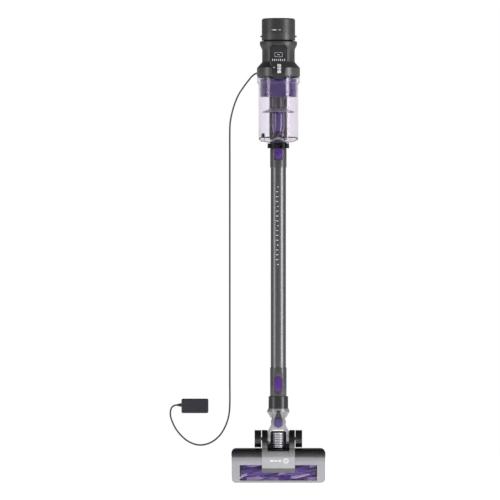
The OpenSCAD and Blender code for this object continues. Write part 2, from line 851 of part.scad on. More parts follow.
module neck_hose() {
  hose_top = axle_z + 15.5;
  hose_low = head_d + 1.5;
  ribs = 9;
  step = (hose_top - hose_low) / ribs;
  color("gainsboro") on_wand() difference() {
    union() {
      post(hose_r - 1.5, hose_low, hose_top);
      for (i = [0:ribs - 1]) post(hose_r, hose_low + (i + 0.2) * step, hose_low + (i + 0.8) * step);
    }
    post(hose_r - 3, hose_low - 1, hose_top + 1);
  }
}

// ---------- Floor head, placed from the wand axis with its outline in [y, z] ----------

// Section of the head: a round hood over the brush and a rounder back over its motor
module head_section(cut = 0) {
  hull() {
    translate(brush_c) circle(brush_hood - cut, $fn = 64);
    translate(motor_c) circle(motor_hood - cut, $fn = 64);
  }
}

// Plan of the head, seen from above the floor, extruded between two depths
module head_plan(from, to, cut = 0) {
  translate([0, to, 0]) rotate([90, 0, 0]) linear_extrude(to - from)
    translate([-head_w / 2 + cut, cut]) rounded([head_w - 2 * cut, head_d - 2 * cut], head_corner - cut);
}

module at_brush() { translate([0, brush_c[0], brush_c[1]]) children(); }
module at_motor() { translate([0, motor_c[0], motor_c[1]]) children(); }

module head_base() {
  color([0.3, 0.3, 0.3]) on_wand() difference() {
    union() {
      difference() {
        head_plan(0, sole_y);
        head_plan(-1, sole_y - 2.5, head_t);
      }
      for (x = [-boss_out, boss_out - boss_w]) at_brush() bar_x(boss_r, x, x + boss_w);
      for (side = [-1, 1]) head_arm(side);
      block([-gap_half - 1, 14.5, head_d - 1], [gap_half + 1, 17, axle_z + 18]);
      for (x = [-roller_x, roller_x]) for (e = [-1, 1])
        block([x + e * (roller_half + 2.5) - 1.5, roller_y - 4, roller_z - 4],
          [x + e * (roller_half + 2.5) + 1.5, sole_y - 1, roller_z + 4]);
    }
    block([-mouth_half, sole_y - 4, mouth_low], [mouth_half, sole_y + 1, mouth_top]);
    for (x = [-roller_x, roller_x]) {
      block([x - roller_half - 1, roller_y - 6, roller_z - roller_r - 1],
        [x + roller_half + 1, sole_y + 1, roller_z + roller_r + 1]);
      translate([0, roller_y, roller_z])
        bar_x(roller_pin + run_gap, x - roller_half - 5, x + roller_half + 5);
    }
    at_brush() bar_x(stub_r + run_gap, -head_w / 2 + 2.5, head_w / 2 - 2.5);
    translate([0, 0, axle_z]) bar_x(axle_r, -60, 60);
    translate([0, 0, head_d - 6]) post(passage_r, 0, 12);
    at_brush() bar_x(bristle_r + 1.2, -mouth_half, mouth_half);
  }
}

// Arm that carries one axle, on the side given as -1 or 1
module head_arm(side) {
  low = side < 0 ? -cover_half + cover_t : gap_half;
  top = side < 0 ? -gap_half : cover_half - cover_t;
  translate([0, 0, axle_z]) bar_x(arm_r, low, top);
  block([low, -arm_r, head_d], [top, arm_r, axle_z]);
  block([low, 0, head_d - 4], [top, arm_r - 1, head_d + 1]);
}

module head_shell(from, to) {
  intersection() {
    along_x(-head_w / 2, head_w / 2) difference() {
      head_section(from);
      head_section(to);
    }
    head_plan(-60, -seat_gap);
  }
}

module head_cover() {
  color("gray") on_wand() difference() {
    union() {
      head_shell(0, head_t);
      intersection() {
        difference() {
          head_plan(-60, -seat_gap);
          head_plan(-61, 1, head_t);
        }
        along_x(-head_w / 2, head_w / 2) head_section(head_t / 2);
      }
    }
    block([-window_half, -60, window_low], [window_half, window_back, window_top]);
    for (x = [-boss_out, boss_out - boss_w]) at_brush()
      bar_x(boss_r + slide_gap, x - 2 * slide_gap, x + boss_w + 2 * slide_gap);
  }
}

module head_window() {
  color([0.8, 0.8, 0.9, 0.3]) on_wand() intersection() {
    head_shell(0.2, head_t - 0.3);
    block([-window_half + seat_gap, -60, window_low + seat_gap],
      [window_half - seat_gap, window_back, window_top - seat_gap]);
  }
}

// Section of the centre cover: a skin over the head that runs up and round the front of the arms
module centre_section() {
  skin = arm_r + seat_gap;
  intersection() {
    difference() {
      head_section(-cover_t - seat_gap);
      head_section(-seat_gap);
    }
    translate([-60, cover_low]) square([60 - skin, head_d + 1 - cover_low]);
  }
  translate([-skin - cover_t, head_d + 2 * seat_gap]) square([cover_t, axle_z - head_d]);
  intersection() {
    translate([0, axle_z]) difference() {
      circle(skin + cover_t);
      circle(skin);
    }
    translate([-50, axle_z]) square([50, 30]);
  }
}

module centre_cover() {
  color("lightgray") on_wand() difference() {
    along_x(-cover_half, cover_half) centre_section();
    block([-gap_half, -60, cover_gap_z], [gap_half, 10, axle_z + 30]);
  }
}

module hinge_axles() {
  color("silver") on_wand() translate([0, 0, axle_z]) for (side = [-1, 1])
    bar_x(axle_r, side < 0 ? -wheel_x - wheel_w + 1 : cheek_in + 0.5,
      side < 0 ? -cheek_in - 0.5 : wheel_x + wheel_w - 1);
}

module head_motor() {
  color("dimgray") on_wand() at_motor() difference() {
    bar_x(head_motor_r, head_motor_from, head_motor_to);
    bar_x(pinion_shaft_r + run_gap, head_motor_to - 10, head_motor_to + 1);
  }
}

// Loop of the drive belt, grown outwards
module belt_loop(grow) {
  hull() {
    translate(brush_c) circle(pulley_r + grow, $fn = 48);
    translate(motor_c) circle(pinion_r + grow, $fn = 48);
  }
}

module drive_belt() {
  color("black") on_wand() along_x(belt_x, belt_x + belt_w) difference() {
    belt_loop(slide_gap + belt_t);
    belt_loop(slide_gap);
  }
}

module motor_pinion() {
  color("silver") on_wand() at_motor() {
    bar_x(pinion_r, belt_x, belt_x + belt_w);
    bar_x(pinion_shaft_r, head_motor_to - 9, belt_x + eps);
  }
}

module brush_core() {
  color("indigo") on_wand() at_brush() {
    bar_x(core_r, -brush_half, brush_half);
    bar_x(pulley_r, belt_x, belt_x + belt_w);
    bar_x(stub_r, -head_w / 2 + 3.5, head_w / 2 - 3.5);
  }
}

module brush_bristles() {
  rows = 6;
  color("rebeccapurple") on_wand() at_brush() translate([-brush_half + 2, 0, 0]) rotate([0, 90, 0])
    linear_extrude(2 * brush_half - 4, twist = 150, slices = 12, $fn = 8)
      for (i = [0:rows - 1]) rotate(i * 360 / rows)
        translate([core_r + seat_gap, -2]) square([bristle_r - core_r - 0.2, 4]);
}

module wheel(side) {
  on_wand() translate([0, 0, axle_z]) mirror([side < 0 ? 1 : 0, 0, 0]) rotate([0, 90, 0])
    rotate_extrude() polygon([[axle_r + run_gap, wheel_x + 1], [wheel_r - 4, wheel_x + 1],
      [wheel_r - 3, wheel_x], [wheel_r - 1, wheel_x + 0.6], [wheel_r, wheel_x + 2.5],
      [wheel_r, wheel_x + wheel_w - 3], [wheel_r - 1, wheel_x + wheel_w - 0.8],
      [wheel_r - 3.5, wheel_x + wheel_w], [axle_r + run_gap, wheel_x + wheel_w]]);
}
module wheel_left() { color("black") wheel(-1); }
module wheel_right() { color("black") wheel(1); }

module roller(side) {
  on_wand() translate([side * roller_x, roller_y, roller_z]) {
    bar_x(roller_r, -roller_half, roller_half);
    bar_x(roller_pin, -roller_half - 3.5, roller_half + 3.5);
  }
}
module roller_left() { color("black") roller(-1); }
module roller_right() { color("black") roller(1); }

// ---------- Charger ----------

function unit(v) = v / norm(v);

// Direction of the lead at a route point, and a smooth curve between two of them
function heading(i) = i == 0 ? [-1, 0, 0] : i == len(cord_route) - 1 ? [1, 0, 0]
  : unit(cord_route[i + 1] - cord_route[i - 1]);
function curve(i, t) = let (a = cord_route[i], b = cord_route[i + 1], d = norm(b - a))
  a * (2 * t^3 - 3 * t^2 + 1) + heading(i) * d * (t^3 - 2 * t^2 + t)
  + b * (3 * t^2 - 2 * t^3) + heading(i + 1) * d * (t^3 - t^2);
function steps(i) = max(1, round(norm(cord_route[i + 1] - cord_route[i]) / cord_step));

cord_line = concat([for (i = [0:len(cord_route) - 2], s = [0:steps(i) - 1]) curve(i, s / steps(i))],
  [cord_route[len(cord_route) - 1]]);
cord_last = len(cord_line) - 1;
function cord_dir(k) = k == 0 ? heading(0) : k == cord_last ? heading(len(cord_route) - 1)
  : unit(cord_line[k + 1] - cord_line[k - 1]);
function cord_ring(k) = let (t = cord_dir(k), u = unit(cross(t, [0, 1, 0])), v = cross(t, u))
  [for (a = [0:cord_sides - 1]) cord_line[k]
    + cord_r * (u * cos(a * 360 / cord_sides) + v * sin(a * 360 / cord_sides))];

module charger_cord() {
  n = cord_sides;
  color("black") place() polyhedron(
    [for (k = [0:cord_last]) each cord_ring(k)],
    concat([[for (a = [n - 1:-1:0]) a]], [[for (a = [0:n - 1]) cord_last * n + a]],
      [for (k = [0:cord_last - 1], a = [0:n - 1])
        [k * n + a, k * n + (a + 1) % n, (k + 1) * n + (a + 1) % n, (k + 1) * n + a]]));
}

module dc_plug() {
  color("black") place() translate([0, jack_y, jack_z]) mirror([1, 0, 0]) rotate([0, 90, 0]) {
    rotate_extrude() polygon([[0, handle_half + 1], [jack_r, handle_half + 1],
      [jack_r, plug_end - 14], [jack_r - 1, plug_end - 13], [cord_r + 0.6, plug_end], [0, plug_end]]);
    post(2.75, handle_half - 8, handle_half + 1.5);
  }
}

module cord_relief() {
  color("black") place() translate([adapter_x - adapter_w / 2, lead_y, lead_z]) mirror([1, 0, 0])
    rotate([0, 90, 0]) rotate_extrude()
      polygon([[0, 0], [4.5, 0], [cord_r + 0.6, relief_len], [0, relief_len]]);
}

module adapter_body() {
  color([0.12, 0.12, 0.14]) place() translate([adapter_x - adapter_w / 2, wall_y, adapter_z - adapter_h / 2])
    rotate([90, 0, 0]) linear_extrude(adapter_d) rounded([adapter_w, adapter_h], 4);
}

module adapter_pins() {
  color("silver") place() for (side = [-1, 1])
    translate([adapter_x + side * pin_pitch / 2, wall_y, adapter_z]) bar_y(pin_r, 0, pin_len);
}

exhaust_cap();
hepa_filter();
motor_housing();
shoulder_ring();
control_panel();
display_lens();
power_slide();
control_board();
motor_can();
fan_shaft();
impeller();
pre_filter();
inlet_duct();
cyclone_top();
mesh_shroud();
shroud_skirt();
cyclone_cone();
handle_left();
handle_right();
handle_screws();
battery_foot();
charge_jack();
battery_shell();
battery_cells();
battery_button_left();
battery_button_right();
dust_cup();
cup_seal();
lid_pins();
cup_lid();
lid_gasket();
lid_latch();
upper_sleeve();
wand_tube();
lower_sleeve();
upper_button();
lower_button();
neck_collar();
swivel_cap();
yoke();
neck_hose();
head_base();
head_cover();
head_window();
centre_cover();
hinge_axles();
head_motor();
drive_belt();
motor_pinion();
brush_core();
brush_bristles();
wheel_left();
wheel_right();
roller_left();
roller_right();
charger_cord();
dc_plug();
cord_relief();
adapter_body();
adapter_pins();
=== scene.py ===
import math

import bpy
from mathutils import Matrix, Vector


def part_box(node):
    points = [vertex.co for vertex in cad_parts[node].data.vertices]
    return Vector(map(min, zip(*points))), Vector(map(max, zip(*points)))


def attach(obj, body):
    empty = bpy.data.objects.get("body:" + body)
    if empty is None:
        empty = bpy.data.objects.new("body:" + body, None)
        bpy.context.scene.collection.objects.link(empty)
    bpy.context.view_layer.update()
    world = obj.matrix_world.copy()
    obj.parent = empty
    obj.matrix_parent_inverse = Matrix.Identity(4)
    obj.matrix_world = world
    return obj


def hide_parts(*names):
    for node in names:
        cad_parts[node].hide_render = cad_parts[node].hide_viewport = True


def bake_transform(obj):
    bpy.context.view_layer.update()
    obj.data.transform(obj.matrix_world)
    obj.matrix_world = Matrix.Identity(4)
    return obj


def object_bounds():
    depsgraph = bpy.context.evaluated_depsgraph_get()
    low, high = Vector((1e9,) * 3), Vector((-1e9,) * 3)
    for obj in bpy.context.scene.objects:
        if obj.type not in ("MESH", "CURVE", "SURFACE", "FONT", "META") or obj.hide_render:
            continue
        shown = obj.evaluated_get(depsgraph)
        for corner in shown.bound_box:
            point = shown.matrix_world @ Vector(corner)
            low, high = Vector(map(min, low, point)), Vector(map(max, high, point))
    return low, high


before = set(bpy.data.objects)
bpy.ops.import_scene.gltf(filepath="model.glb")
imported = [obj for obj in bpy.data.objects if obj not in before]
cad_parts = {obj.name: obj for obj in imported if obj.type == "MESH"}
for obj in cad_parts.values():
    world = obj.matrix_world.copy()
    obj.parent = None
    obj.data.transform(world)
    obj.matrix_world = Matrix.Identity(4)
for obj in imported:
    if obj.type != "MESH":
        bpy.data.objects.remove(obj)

mm = 0.001
cad_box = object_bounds()


# ---------- Camera ----------
# A long lens, square to the front of the vacuum and level with the middle of the picture,
# which holds the vacuum at the right and its charger lead and adapter at the left.

def middle(node):
    """Centre of a CAD node's box."""
    low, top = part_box(node)
    return (low + top) / 2


wand_axis = middle("wand_tube")
motor_axis = middle("motor_can")
picture_width = 1200 * mm
lens_distance = 11.0
picture_left = 68 * mm       # the picture's centre lies this far left of the wand
picture_low = 461 * mm       # and this far below the hanging point
bpy.ops.object.camera_add(location=(-picture_left, wand_axis.y - lens_distance, -picture_low),
                          rotation=(math.pi / 2, 0, 0))
camera = bpy.context.object
camera.data.lens = camera.data.sensor_width * lens_distance / picture_width
camera.data.clip_end = 50
bpy.context.scene.camera = camera
bpy.context.scene.view_settings.view_transform = "Standard"


# ---------- Charger lead ----------
# The thin two-core lead in soft black PVC, with its charge plug in the left side of the
# handle. It hangs down along the wall and rises in one loop to the adapter's strain relief.

def fresh():
    """Leaves edit mode and selects nothing, so that the next operator has only its own piece."""
    if bpy.context.object and bpy.context.object.mode != "OBJECT":
        bpy.ops.object.mode_set(mode="OBJECT")
    bpy.ops.object.select_all(action="DESELECT")


def linear(colour):
    """A linear RGBA colour from an sRGB hex value."""
    parts = [((colour >> shift) & 255) / 255 for shift in (16, 8, 0)]
    return (*[c / 12.92 if c <= 0.04045 else ((c + 0.055) / 1.055) ** 2.4 for c in parts], 1)


def add(material, kind, inputs=(), **settings):
    """Adds a node to a material, sets its properties, and sets or links its inputs."""
    node = material.node_tree.nodes.new("ShaderNode" + kind)
    for name, value in settings.items():
        setattr(node, name, value)
    for name, value in dict(inputs).items():
        if isinstance(value, bpy.types.NodeSocket):
            material.node_tree.links.new(value, node.inputs[name])
        else:
            node.inputs[name].default_value = value
    return node


def plastic(name, colour, roughness, grain=0.5, depth=0.02, drift=0.12, coat=0.0, metallic=0.0):
    """Moulded plastic or rubber: a spark-eroded grain that catches the light, a slight drift of
    shade where it flowed in the mould, and polish that varies where hands and cloths rub it."""
    material = bpy.data.materials.new(name)
    material.use_nodes = True
    shader = material.node_tree.nodes["Principled BSDF"]
    place = add(material, "TexCoord").outputs["Object"]
    fine = add(material, "TexNoise", {"Vector": place, "Scale": 1 / (grain * mm), "Detail": 3.0})
    broad = add(material, "TexNoise", {"Vector": place, "Scale": 1 / (30 * mm), "Detail": 4.0})
    tone = linear(colour)
    dark = [c * (1 - drift) for c in tone[:3]] + [1]
    light = [min(1, c * (1 + drift)) for c in tone[:3]] + [1]
    shade = add(material, "Mix", {0: broad.outputs["Fac"], 6: dark, 7: light}, data_type="RGBA")
    polish = add(material, "MapRange", {"Value": broad.outputs["Fac"], "From Min": 0.3, "From Max": 0.7,
                                        "To Min": roughness * 0.85, "To Max": roughness * 1.15})
    relief = add(material, "Bump", {"Height": fine.outputs["Fac"], "Strength": 0.4,
                                    "Distance": depth * mm})
    links = material.node_tree.links
    links.new(shade.outputs[2], shader.inputs["Base Color"])
    links.new(polish.outputs["Result"], shader.inputs["Roughness"])
    links.new(relief.outputs["Normal"], shader.inputs["Normal"])
    shader.inputs["Metallic"].default_value = metallic
    shader.inputs["Coat Weight"].default_value = coat
    shader.inputs["Coat Roughness"].default_value = 0.08
    shader.inputs["IOR"].default_value = 1.5
    return material


def dress(piece, material, body, slot, *nodes):
    """Gives a finished piece its material and body, and hides the CAD nodes it stands for. The slot is
    not used.
    """
    piece.data.materials.clear()
    piece.data.materials.append(material)
    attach(piece, body)
    if nodes:
        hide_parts(*nodes)
    return piece


def dress_node(node, material):
    """Gives a CAD node that stays as it is its material."""
    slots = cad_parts[node].data.materials
    slots.clear()
    slots.append(material)


lead_r = 2 * mm
origin_y, origin_z = 180, 1020      # the hanging point, seen from the motor axis and the lowest edge
lead_route = [
    (-49, 95, 985), (-54, 95.5, 984.5), (-62, 98, 979), (-70, 102, 970), (-78, 107, 960),
    (-86, 113, 949), (-94, 120, 937), (-101, 128, 923), (-107, 137, 907), (-112, 146, 889),
    (-116, 154, 868), (-117, 158, 845), (-117, 158, 780), (-117, 158, 640), (-117, 158, 500),
    (-117, 158, 360), (-117, 158, 240), (-117, 158, 185), (-119, 158, 160), (-124, 158, 141),
    (-131, 158, 125), (-141, 158, 110), (-155, 158, 97), (-171, 158, 89), (-188, 158, 86),
    (-205, 158, 89), (-221, 158, 97), (-235, 158, 109), (-247, 158, 124), (-255, 158, 139),
    (-260, 158, 153), (-261, 158, 167), (-256.5, 158, 178.5), (-245, 158, 183)]
lead_points = [Vector((x, y - origin_y, z - origin_z)) * mm for x, y, z in lead_route]
lead_headings = [(b - a).normalized() for a, b in zip(lead_points, lead_points[2:])]
lead_headings = [Vector((-1, 0, 0)), *lead_headings, Vector((1, 0, 0))]

fresh()
bpy.ops.curve.primitive_bezier_curve_add()
lead = bpy.context.object
lead.name = "lead"
spline = lead.data.splines[0]
spline.bezier_points.add(len(lead_points) - 2)
for i, (knot, point, heading) in enumerate(zip(spline.bezier_points, lead_points, lead_headings)):
    before = (point - lead_points[max(i - 1, 0)]).length / 3
    after = (lead_points[min(i + 1, len(lead_points) - 1)] - point).length / 3
    knot.handle_left_type = knot.handle_right_type = "FREE"
    knot.co = point
    knot.handle_left = point - heading * (before or after)
    knot.handle_right = point + heading * (after or before)
lead.data.bevel_depth = lead_r
lead.data.bevel_resolution = 4
lead.data.resolution_u = 16
lead.data.use_fill_caps = True
soft_pvc = plastic("soft PVC sheath", 0x2c2c2e, 0.45, grain=0.8)
dress(lead, soft_pvc, "main_unit", "lead_black", "charger_cord")


# ---------- Studio ----------
# A pale seamless floor just under the head, a white surround, and two tall soft boxes that
# lay an upright band of light along each side of the round parts. Not part of the object.

floor_gap = 12 * mm
fresh()
bpy.ops.mesh.primitive_circle_add(vertices=96, radius=1.6, fill_type="NGON",
                                  location=(0, 0, cad_box[0].z - floor_gap))
floor = bpy.context.object
floor.name = "studio_floor"
floor_white = bpy.data.materials.new("matt studio paint")
floor_white.use_nodes = True
floor_shader = floor_white.node_tree.nodes["Principled BSDF"]
floor_shader.inputs["Base Color"].default_value = linear(0xf6f6f6)
floor_shader.inputs["Roughness"].default_value = 0.9
floor_shader.inputs["Emission Color"].default_value = (1, 1, 1, 1)
floor_shader.inputs["Emission Strength"].default_value = 1.1
floor.data.materials.append(floor_white)

world = bpy.data.worlds.new("studio")
bpy.context.scene.world = world
world.use_nodes = True
surround = world.node_tree.nodes["Background"]
seen = world.node_tree.nodes.new("ShaderNodeLightPath")
either = world.node_tree.nodes.new("ShaderNodeMath")
either.operation = "MAXIMUM"
level = world.node_tree.nodes.new("ShaderNodeMapRange")
level.inputs["To Max"].default_value = 1.0    # what is seen behind it, also through clear plastic
from_where = world.node_tree.nodes.new("ShaderNodeNewGeometry")
apart = world.node_tree.nodes.new("ShaderNodeSeparateXYZ")
ceiling = world.node_tree.nodes.new("ShaderNodeMapRange")
for name, value in (("From Min", -0.7), ("From Max", 0.15), ("To Min", 0.06), ("To Max", 0.44)):
    ceiling.inputs[name].default_value = value      # the studio is dark above and pale below
world.node_tree.links.new(from_where.outputs["Incoming"], apart.inputs["Vector"])
world.node_tree.links.new(apart.outputs["Z"], ceiling.inputs["Value"])
world.node_tree.links.new(ceiling.outputs["Result"], level.inputs["To Min"])
world.node_tree.links.new(seen.outputs["Is Camera Ray"], either.inputs[0])
world.node_tree.links.new(seen.outputs["Is Transmission Ray"], either.inputs[1])
world.node_tree.links.new(either.outputs[0], level.inputs["Value"])
world.node_tree.links.new(level.outputs["Result"], surround.inputs["Strength"])
surround.inputs["Color"].default_value = (1, 1, 1, 1)

light_distance = 1.5
half_way = Vector((0, wand_axis.y, -0.4))     # about the middle of its height
for side, turn, watts in ((1, 56, 31), (-1, 62, 14)):
    angle = math.radians(turn) * side
    spot = Vector((math.sin(angle), -math.cos(angle), 0)) * light_distance + half_way
    fresh()
    bpy.ops.object.light_add(type="AREA", location=spot)
    box_light = bpy.context.object
    box_light.data.shape = "RECTANGLE"
    box_light.data.size = 0.5
    box_light.data.size_y = 2.2
    box_light.data.energy = watts
    box_light.rotation_euler = (half_way - spot).to_track_quat("-Z", "Y").to_euler()


# ---------- Charge plug, strain relief and adapter ----------
# The plug has a ribbed grip and a taper in the same PVC as the lead. The adapter is a sonic
# welded ABS box with a seam round its middle, two plated pins and a ribbed strain relief.

def chain(name, points, closed=True):
    """A wire through the points, made by extruding one corner from each to the next."""
    fresh()
    bpy.ops.mesh.primitive_plane_add(size=1, location=(0, 0, 0))
    piece = bpy.context.object
    piece.name = name
    bpy.ops.object.mode_set(mode="EDIT")
    bpy.ops.mesh.select_all(action="SELECT")
    bpy.ops.mesh.merge(type="CENTER")
    bpy.ops.transform.translate(value=points[0])
    last = Vector(points[0])
    for point in [*points[1:], *([points[0]] if closed else [])]:
        bpy.ops.mesh.extrude_vertices_move(TRANSFORM_OT_translate={"value": Vector(point) - last})
        last = Vector(point)
    bpy.ops.mesh.select_all(action="SELECT")
    bpy.ops.mesh.remove_doubles(threshold=0.001 * mm)
    return piece


def softened(outline, steps=4):
    """An outline of (across, along, corner radius) points with each corner turned into an arc."""
    flat = []
    count = len(outline)
    for i, (x, y, *rest) in enumerate(outline):
        radius = rest[0] if rest else 0
        here = Vector((x, y))
        to_last = Vector(outline[i - 1][:2]) - here
        to_next = Vector(outline[(i + 1) % count][:2]) - here
        if radius <= 0 or to_last.length < 1e-9 or to_next.length < 1e-9:
            flat.append((x, y))
            continue
        half = to_last.angle(to_next) / 2
        back = min(radius / math.tan(half), 0.48 * to_last.length, 0.48 * to_next.length)
        start, end = here + to_last.normalized() * back, here + to_next.normalized() * back
        for k in range(steps + 1):
            t = k / steps
            flat.append(tuple(start * (1 - t) ** 2 + here * 2 * t * (1 - t) + end * t ** 2))
    return flat


def tidy(piece, angle=35):
    """Merges, points the faces outwards and shades a closed mesh, then leaves edit mode."""
    if bpy.context.object.mode != "EDIT":
        bpy.ops.object.mode_set(mode="EDIT")
    bpy.ops.mesh.select_all(action="SELECT")
    bpy.ops.mesh.remove_doubles(threshold=0.002 * mm)
    bpy.ops.mesh.normals_make_consistent(inside=False)
    bpy.ops.object.mode_set(mode="OBJECT")
    bpy.ops.object.shade_smooth_by_angle(angle=math.radians(angle))
    return piece


ways = {"X": (Vector((1, 0, 0)), Vector((0, 0, 1))), "Y": (Vector((0, 1, 0)), Vector((0, 0, 1))),
        "Z": (Vector((0, 0, 1)), Vector((0, -1, 0)))}


def turned(name, outline, centre, axis="Z", steps=96, angle=35):
    """A piece of revolution. The closed outline holds (radius, place along the axis, corner radius)
    points in the frame, and centre is any point on the axis."""
    along, out = ways[axis]
    base = Vector(centre) - along * Vector(centre).dot(along)
    points = [base + out * r + along * z for r, z in softened(outline)]
    piece = chain(name, points)
    bpy.ops.mesh.spin(steps=steps, angle=2 * math.pi, center=base, axis=along)
    return tidy(piece, angle)


def modify(piece, kind, **settings):
    """Adds a modifier to a piece and applies it."""
    fresh()
    piece.select_set(True)
    bpy.context.view_layer.objects.active = piece
    change = piece.modifiers.new(kind.lower(), kind)
    for name, value in settings.items():
        setattr(change, name, value)
    bpy.ops.object.modifier_apply(modifier=change.name)
    return piece


def cut(piece, *tools):
    """Takes other pieces out of one, and throws them away."""
    for tool in tools:
        modify(piece, "BOOLEAN", object=tool, operation="DIFFERENCE", solver="EXACT")
        bpy.data.objects.remove(tool)
    return piece


def slab(name, outline, low, top, axis="Y", bevel=0.0, segments=3, angle=35):
    """A plate of even thickness from low to top along the axis. Its outline holds the other two
    coordinates in X, Y, Z order, with an optional corner radius."""
    order = {"X": lambda a, b: (low, a, b), "Y": lambda a, b: (a, low, b),
             "Z": lambda a, b: (a, b, low)}
    points = [Vector(order[axis](a, b)) for a, b in softened(outline, 6)]
    piece = chain(name, points)
    bpy.ops.mesh.edge_face_add()
    move = {"X": (top - low, 0, 0), "Y": (0, top - low, 0), "Z": (0, 0, top - low)}[axis]
    bpy.ops.mesh.extrude_region_move(TRANSFORM_OT_translate={"value": move})
    tidy(piece, angle)
    if bevel:
        modify(piece, "BEVEL", width=bevel, segments=segments, limit_method="ANGLE",
               angle_limit=math.radians(40))
        tidy_again(piece, angle)
    return piece


def tidy_again(piece, angle=35):
    """Shades a piece that a modifier has changed."""
    fresh()
    piece.select_set(True)
    bpy.context.view_layer.objects.active = piece
    bpy.ops.object.shade_smooth_by_angle(angle=math.radians(angle))


def joined(name, pieces):
    """Several pieces as one."""
    fresh()
    for piece in pieces:
        piece.select_set(True)
    bpy.context.view_layer.objects.active = pieces[0]
    bpy.ops.object.join()
    bpy.context.object.name = name
    return bpy.context.object


def copied(node, name, bevel=0.0, segments=2, angle=35):
    """A copy of a CAD node's own mesh, merged, with its sharp edges rounded."""
    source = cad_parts[node]
    fresh()
    piece = source.copy()
    piece.data = source.data.copy()
    piece.parent = None
    for key in list(piece.keys()):
        del piece[key]
    bpy.context.scene.collection.objects.link(piece)
    piece.name = name
    piece.select_set(True)
    bpy.context.view_layer.objects.active = piece
    bpy.ops.object.mode_set(mode="EDIT")
    bpy.ops.mesh.select_all(action="SELECT")
    bpy.ops.mesh.remove_doubles(threshold=0.01 * mm)
    bpy.ops.mesh.dissolve_limited(angle_limit=math.radians(0.5))
    bpy.ops.mesh.normals_make_consistent(inside=False)
    bpy.ops.object.mode_set(mode="OBJECT")
    if bevel:
        modify(piece, "BEVEL", width=bevel, segments=segments, limit_method="ANGLE",
               angle_limit=math.radians(40), use_clamp_overlap=True)
    tidy_again(piece, angle)
    return piece


plug_low, plug_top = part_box("dc_plug")
plug_axis = middle("dc_plug")
plug_r = (plug_top.z - plug_low.z) / 2
face_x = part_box("charge_jack")[0].x
grip_ribs = []
rib_step = 3 * mm
for i in range(6):
    x = plug_low.x + 15 * mm + i * rib_step
    grip_ribs += [(plug_r - 0.6 * mm, x), (plug_r - 0.6 * mm, x + rib_step * 0.3),
                  (plug_r, x + rib_step * 0.5), (plug_r, x + rib_step * 0.85)]
plug = turned("charge_plug", [
    (0, plug_low.x), (lead_r + 0.5 * mm, plug_low.x, 0.3 * mm),
    (plug_r - 1 * mm, plug_low.x + 11 * mm, 2 * mm),
    *grip_ribs, (plug_r, face_x - 0.5 * mm, 0.5 * mm), (2.75 * mm, face_x - 0.5 * mm),
    (2.75 * mm, plug_top.x, 0.3 * mm), (0, plug_top.x)], plug_axis, "X", 48)
dress(plug, soft_pvc, "main_unit", "lead_black", "dc_plug")

relief_low, relief_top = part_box("cord_relief")
relief_outline = [(0, relief_low.x), (lead_r + 0.5 * mm, relief_low.x)]
for i in range(4):
    x = relief_low.x + (1.6 + i * 2.2) * mm
    r = lead_r + (0.7 + i * 0.55) * mm
    relief_outline += [(r, x), (r + 0.2 * mm, x + 0.3 * mm), (r + 0.2 * mm, x + 1.3 * mm),
                       (r - 0.3 * mm, x + 1.6 * mm)]
relief_outline += [(4.5 * mm, relief_top.x - 0.8 * mm, 0.3 * mm), (4.5 * mm, relief_top.x),
                   (0, relief_top.x)]
relief = turned("lead_strain_relief", relief_outline, middle("cord_relief"), "X", 48)
dress(relief, soft_pvc, "main_unit", "lead_black", "cord_relief")

box_low, box_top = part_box("adapter_body")
seam_y = box_low.y + (box_top.y - box_low.y) * 0.62
seam_gap = 0.6 * mm
corner = 4 * mm
adapter_outline = [(box_low.x, box_low.z, corner), (box_top.x, box_low.z, corner),
                   (box_top.x, box_top.z, corner), (box_low.x, box_top.z, corner)]
inset = 0.8 * mm
inner_outline = [(box_low.x + inset, box_low.z + inset, corner),
                 (box_top.x - inset, box_low.z + inset, corner),
                 (box_top.x - inset, box_top.z - inset, corner),
                 (box_low.x + inset, box_top.z - inset, corner)]
adapter = joined("adapter_box", [
    slab("adapter_front", adapter_outline, box_low.y, seam_y - seam_gap, "Y", bevel=1.6 * mm),
    slab("adapter_seam", inner_outline, seam_y - 2 * seam_gap, seam_y + seam_gap, "Y"),
    slab("adapter_back", adapter_outline, seam_y, box_top.y, "Y", bevel=0.8 * mm)])
adapter_abs = plastic("moulded ABS, blue black", 0x1c1a26, 0.38, grain=0.7)
dress(adapter, adapter_abs, "main_unit", "adapter_black", "adapter_body")

nickel = plastic("nickel-plated brass", 0xc9c5bc, 0.22, grain=1.2, depth=0.01, drift=0.05, metallic=1.0)
pin_low, pin_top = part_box("adapter_pins")
pin_r = (pin_top.z - pin_low.z) / 2
pin_outline = [(0, pin_low.y), (pin_r, pin_low.y), (pin_r, pin_top.y, 1.2 * mm), (0, pin_top.y)]
pins = [turned("pin", pin_outline, (x, 0, (pin_low.z + pin_top.z) / 2), "Y", 32)
        for x in (pin_low.x + pin_r, pin_top.x - pin_r)]
dress(joined("mains_pins", pins), nickel, "main_unit", "pin_nickel", "adapter_pins")


# ---------- Exhaust cap and filter ----------
# The dark ABS cap that covers the exhaust filter. It is turned a few degrees on its two tabs to
# come off, has fine grooves round it for grip, and slots in its top let the air out.

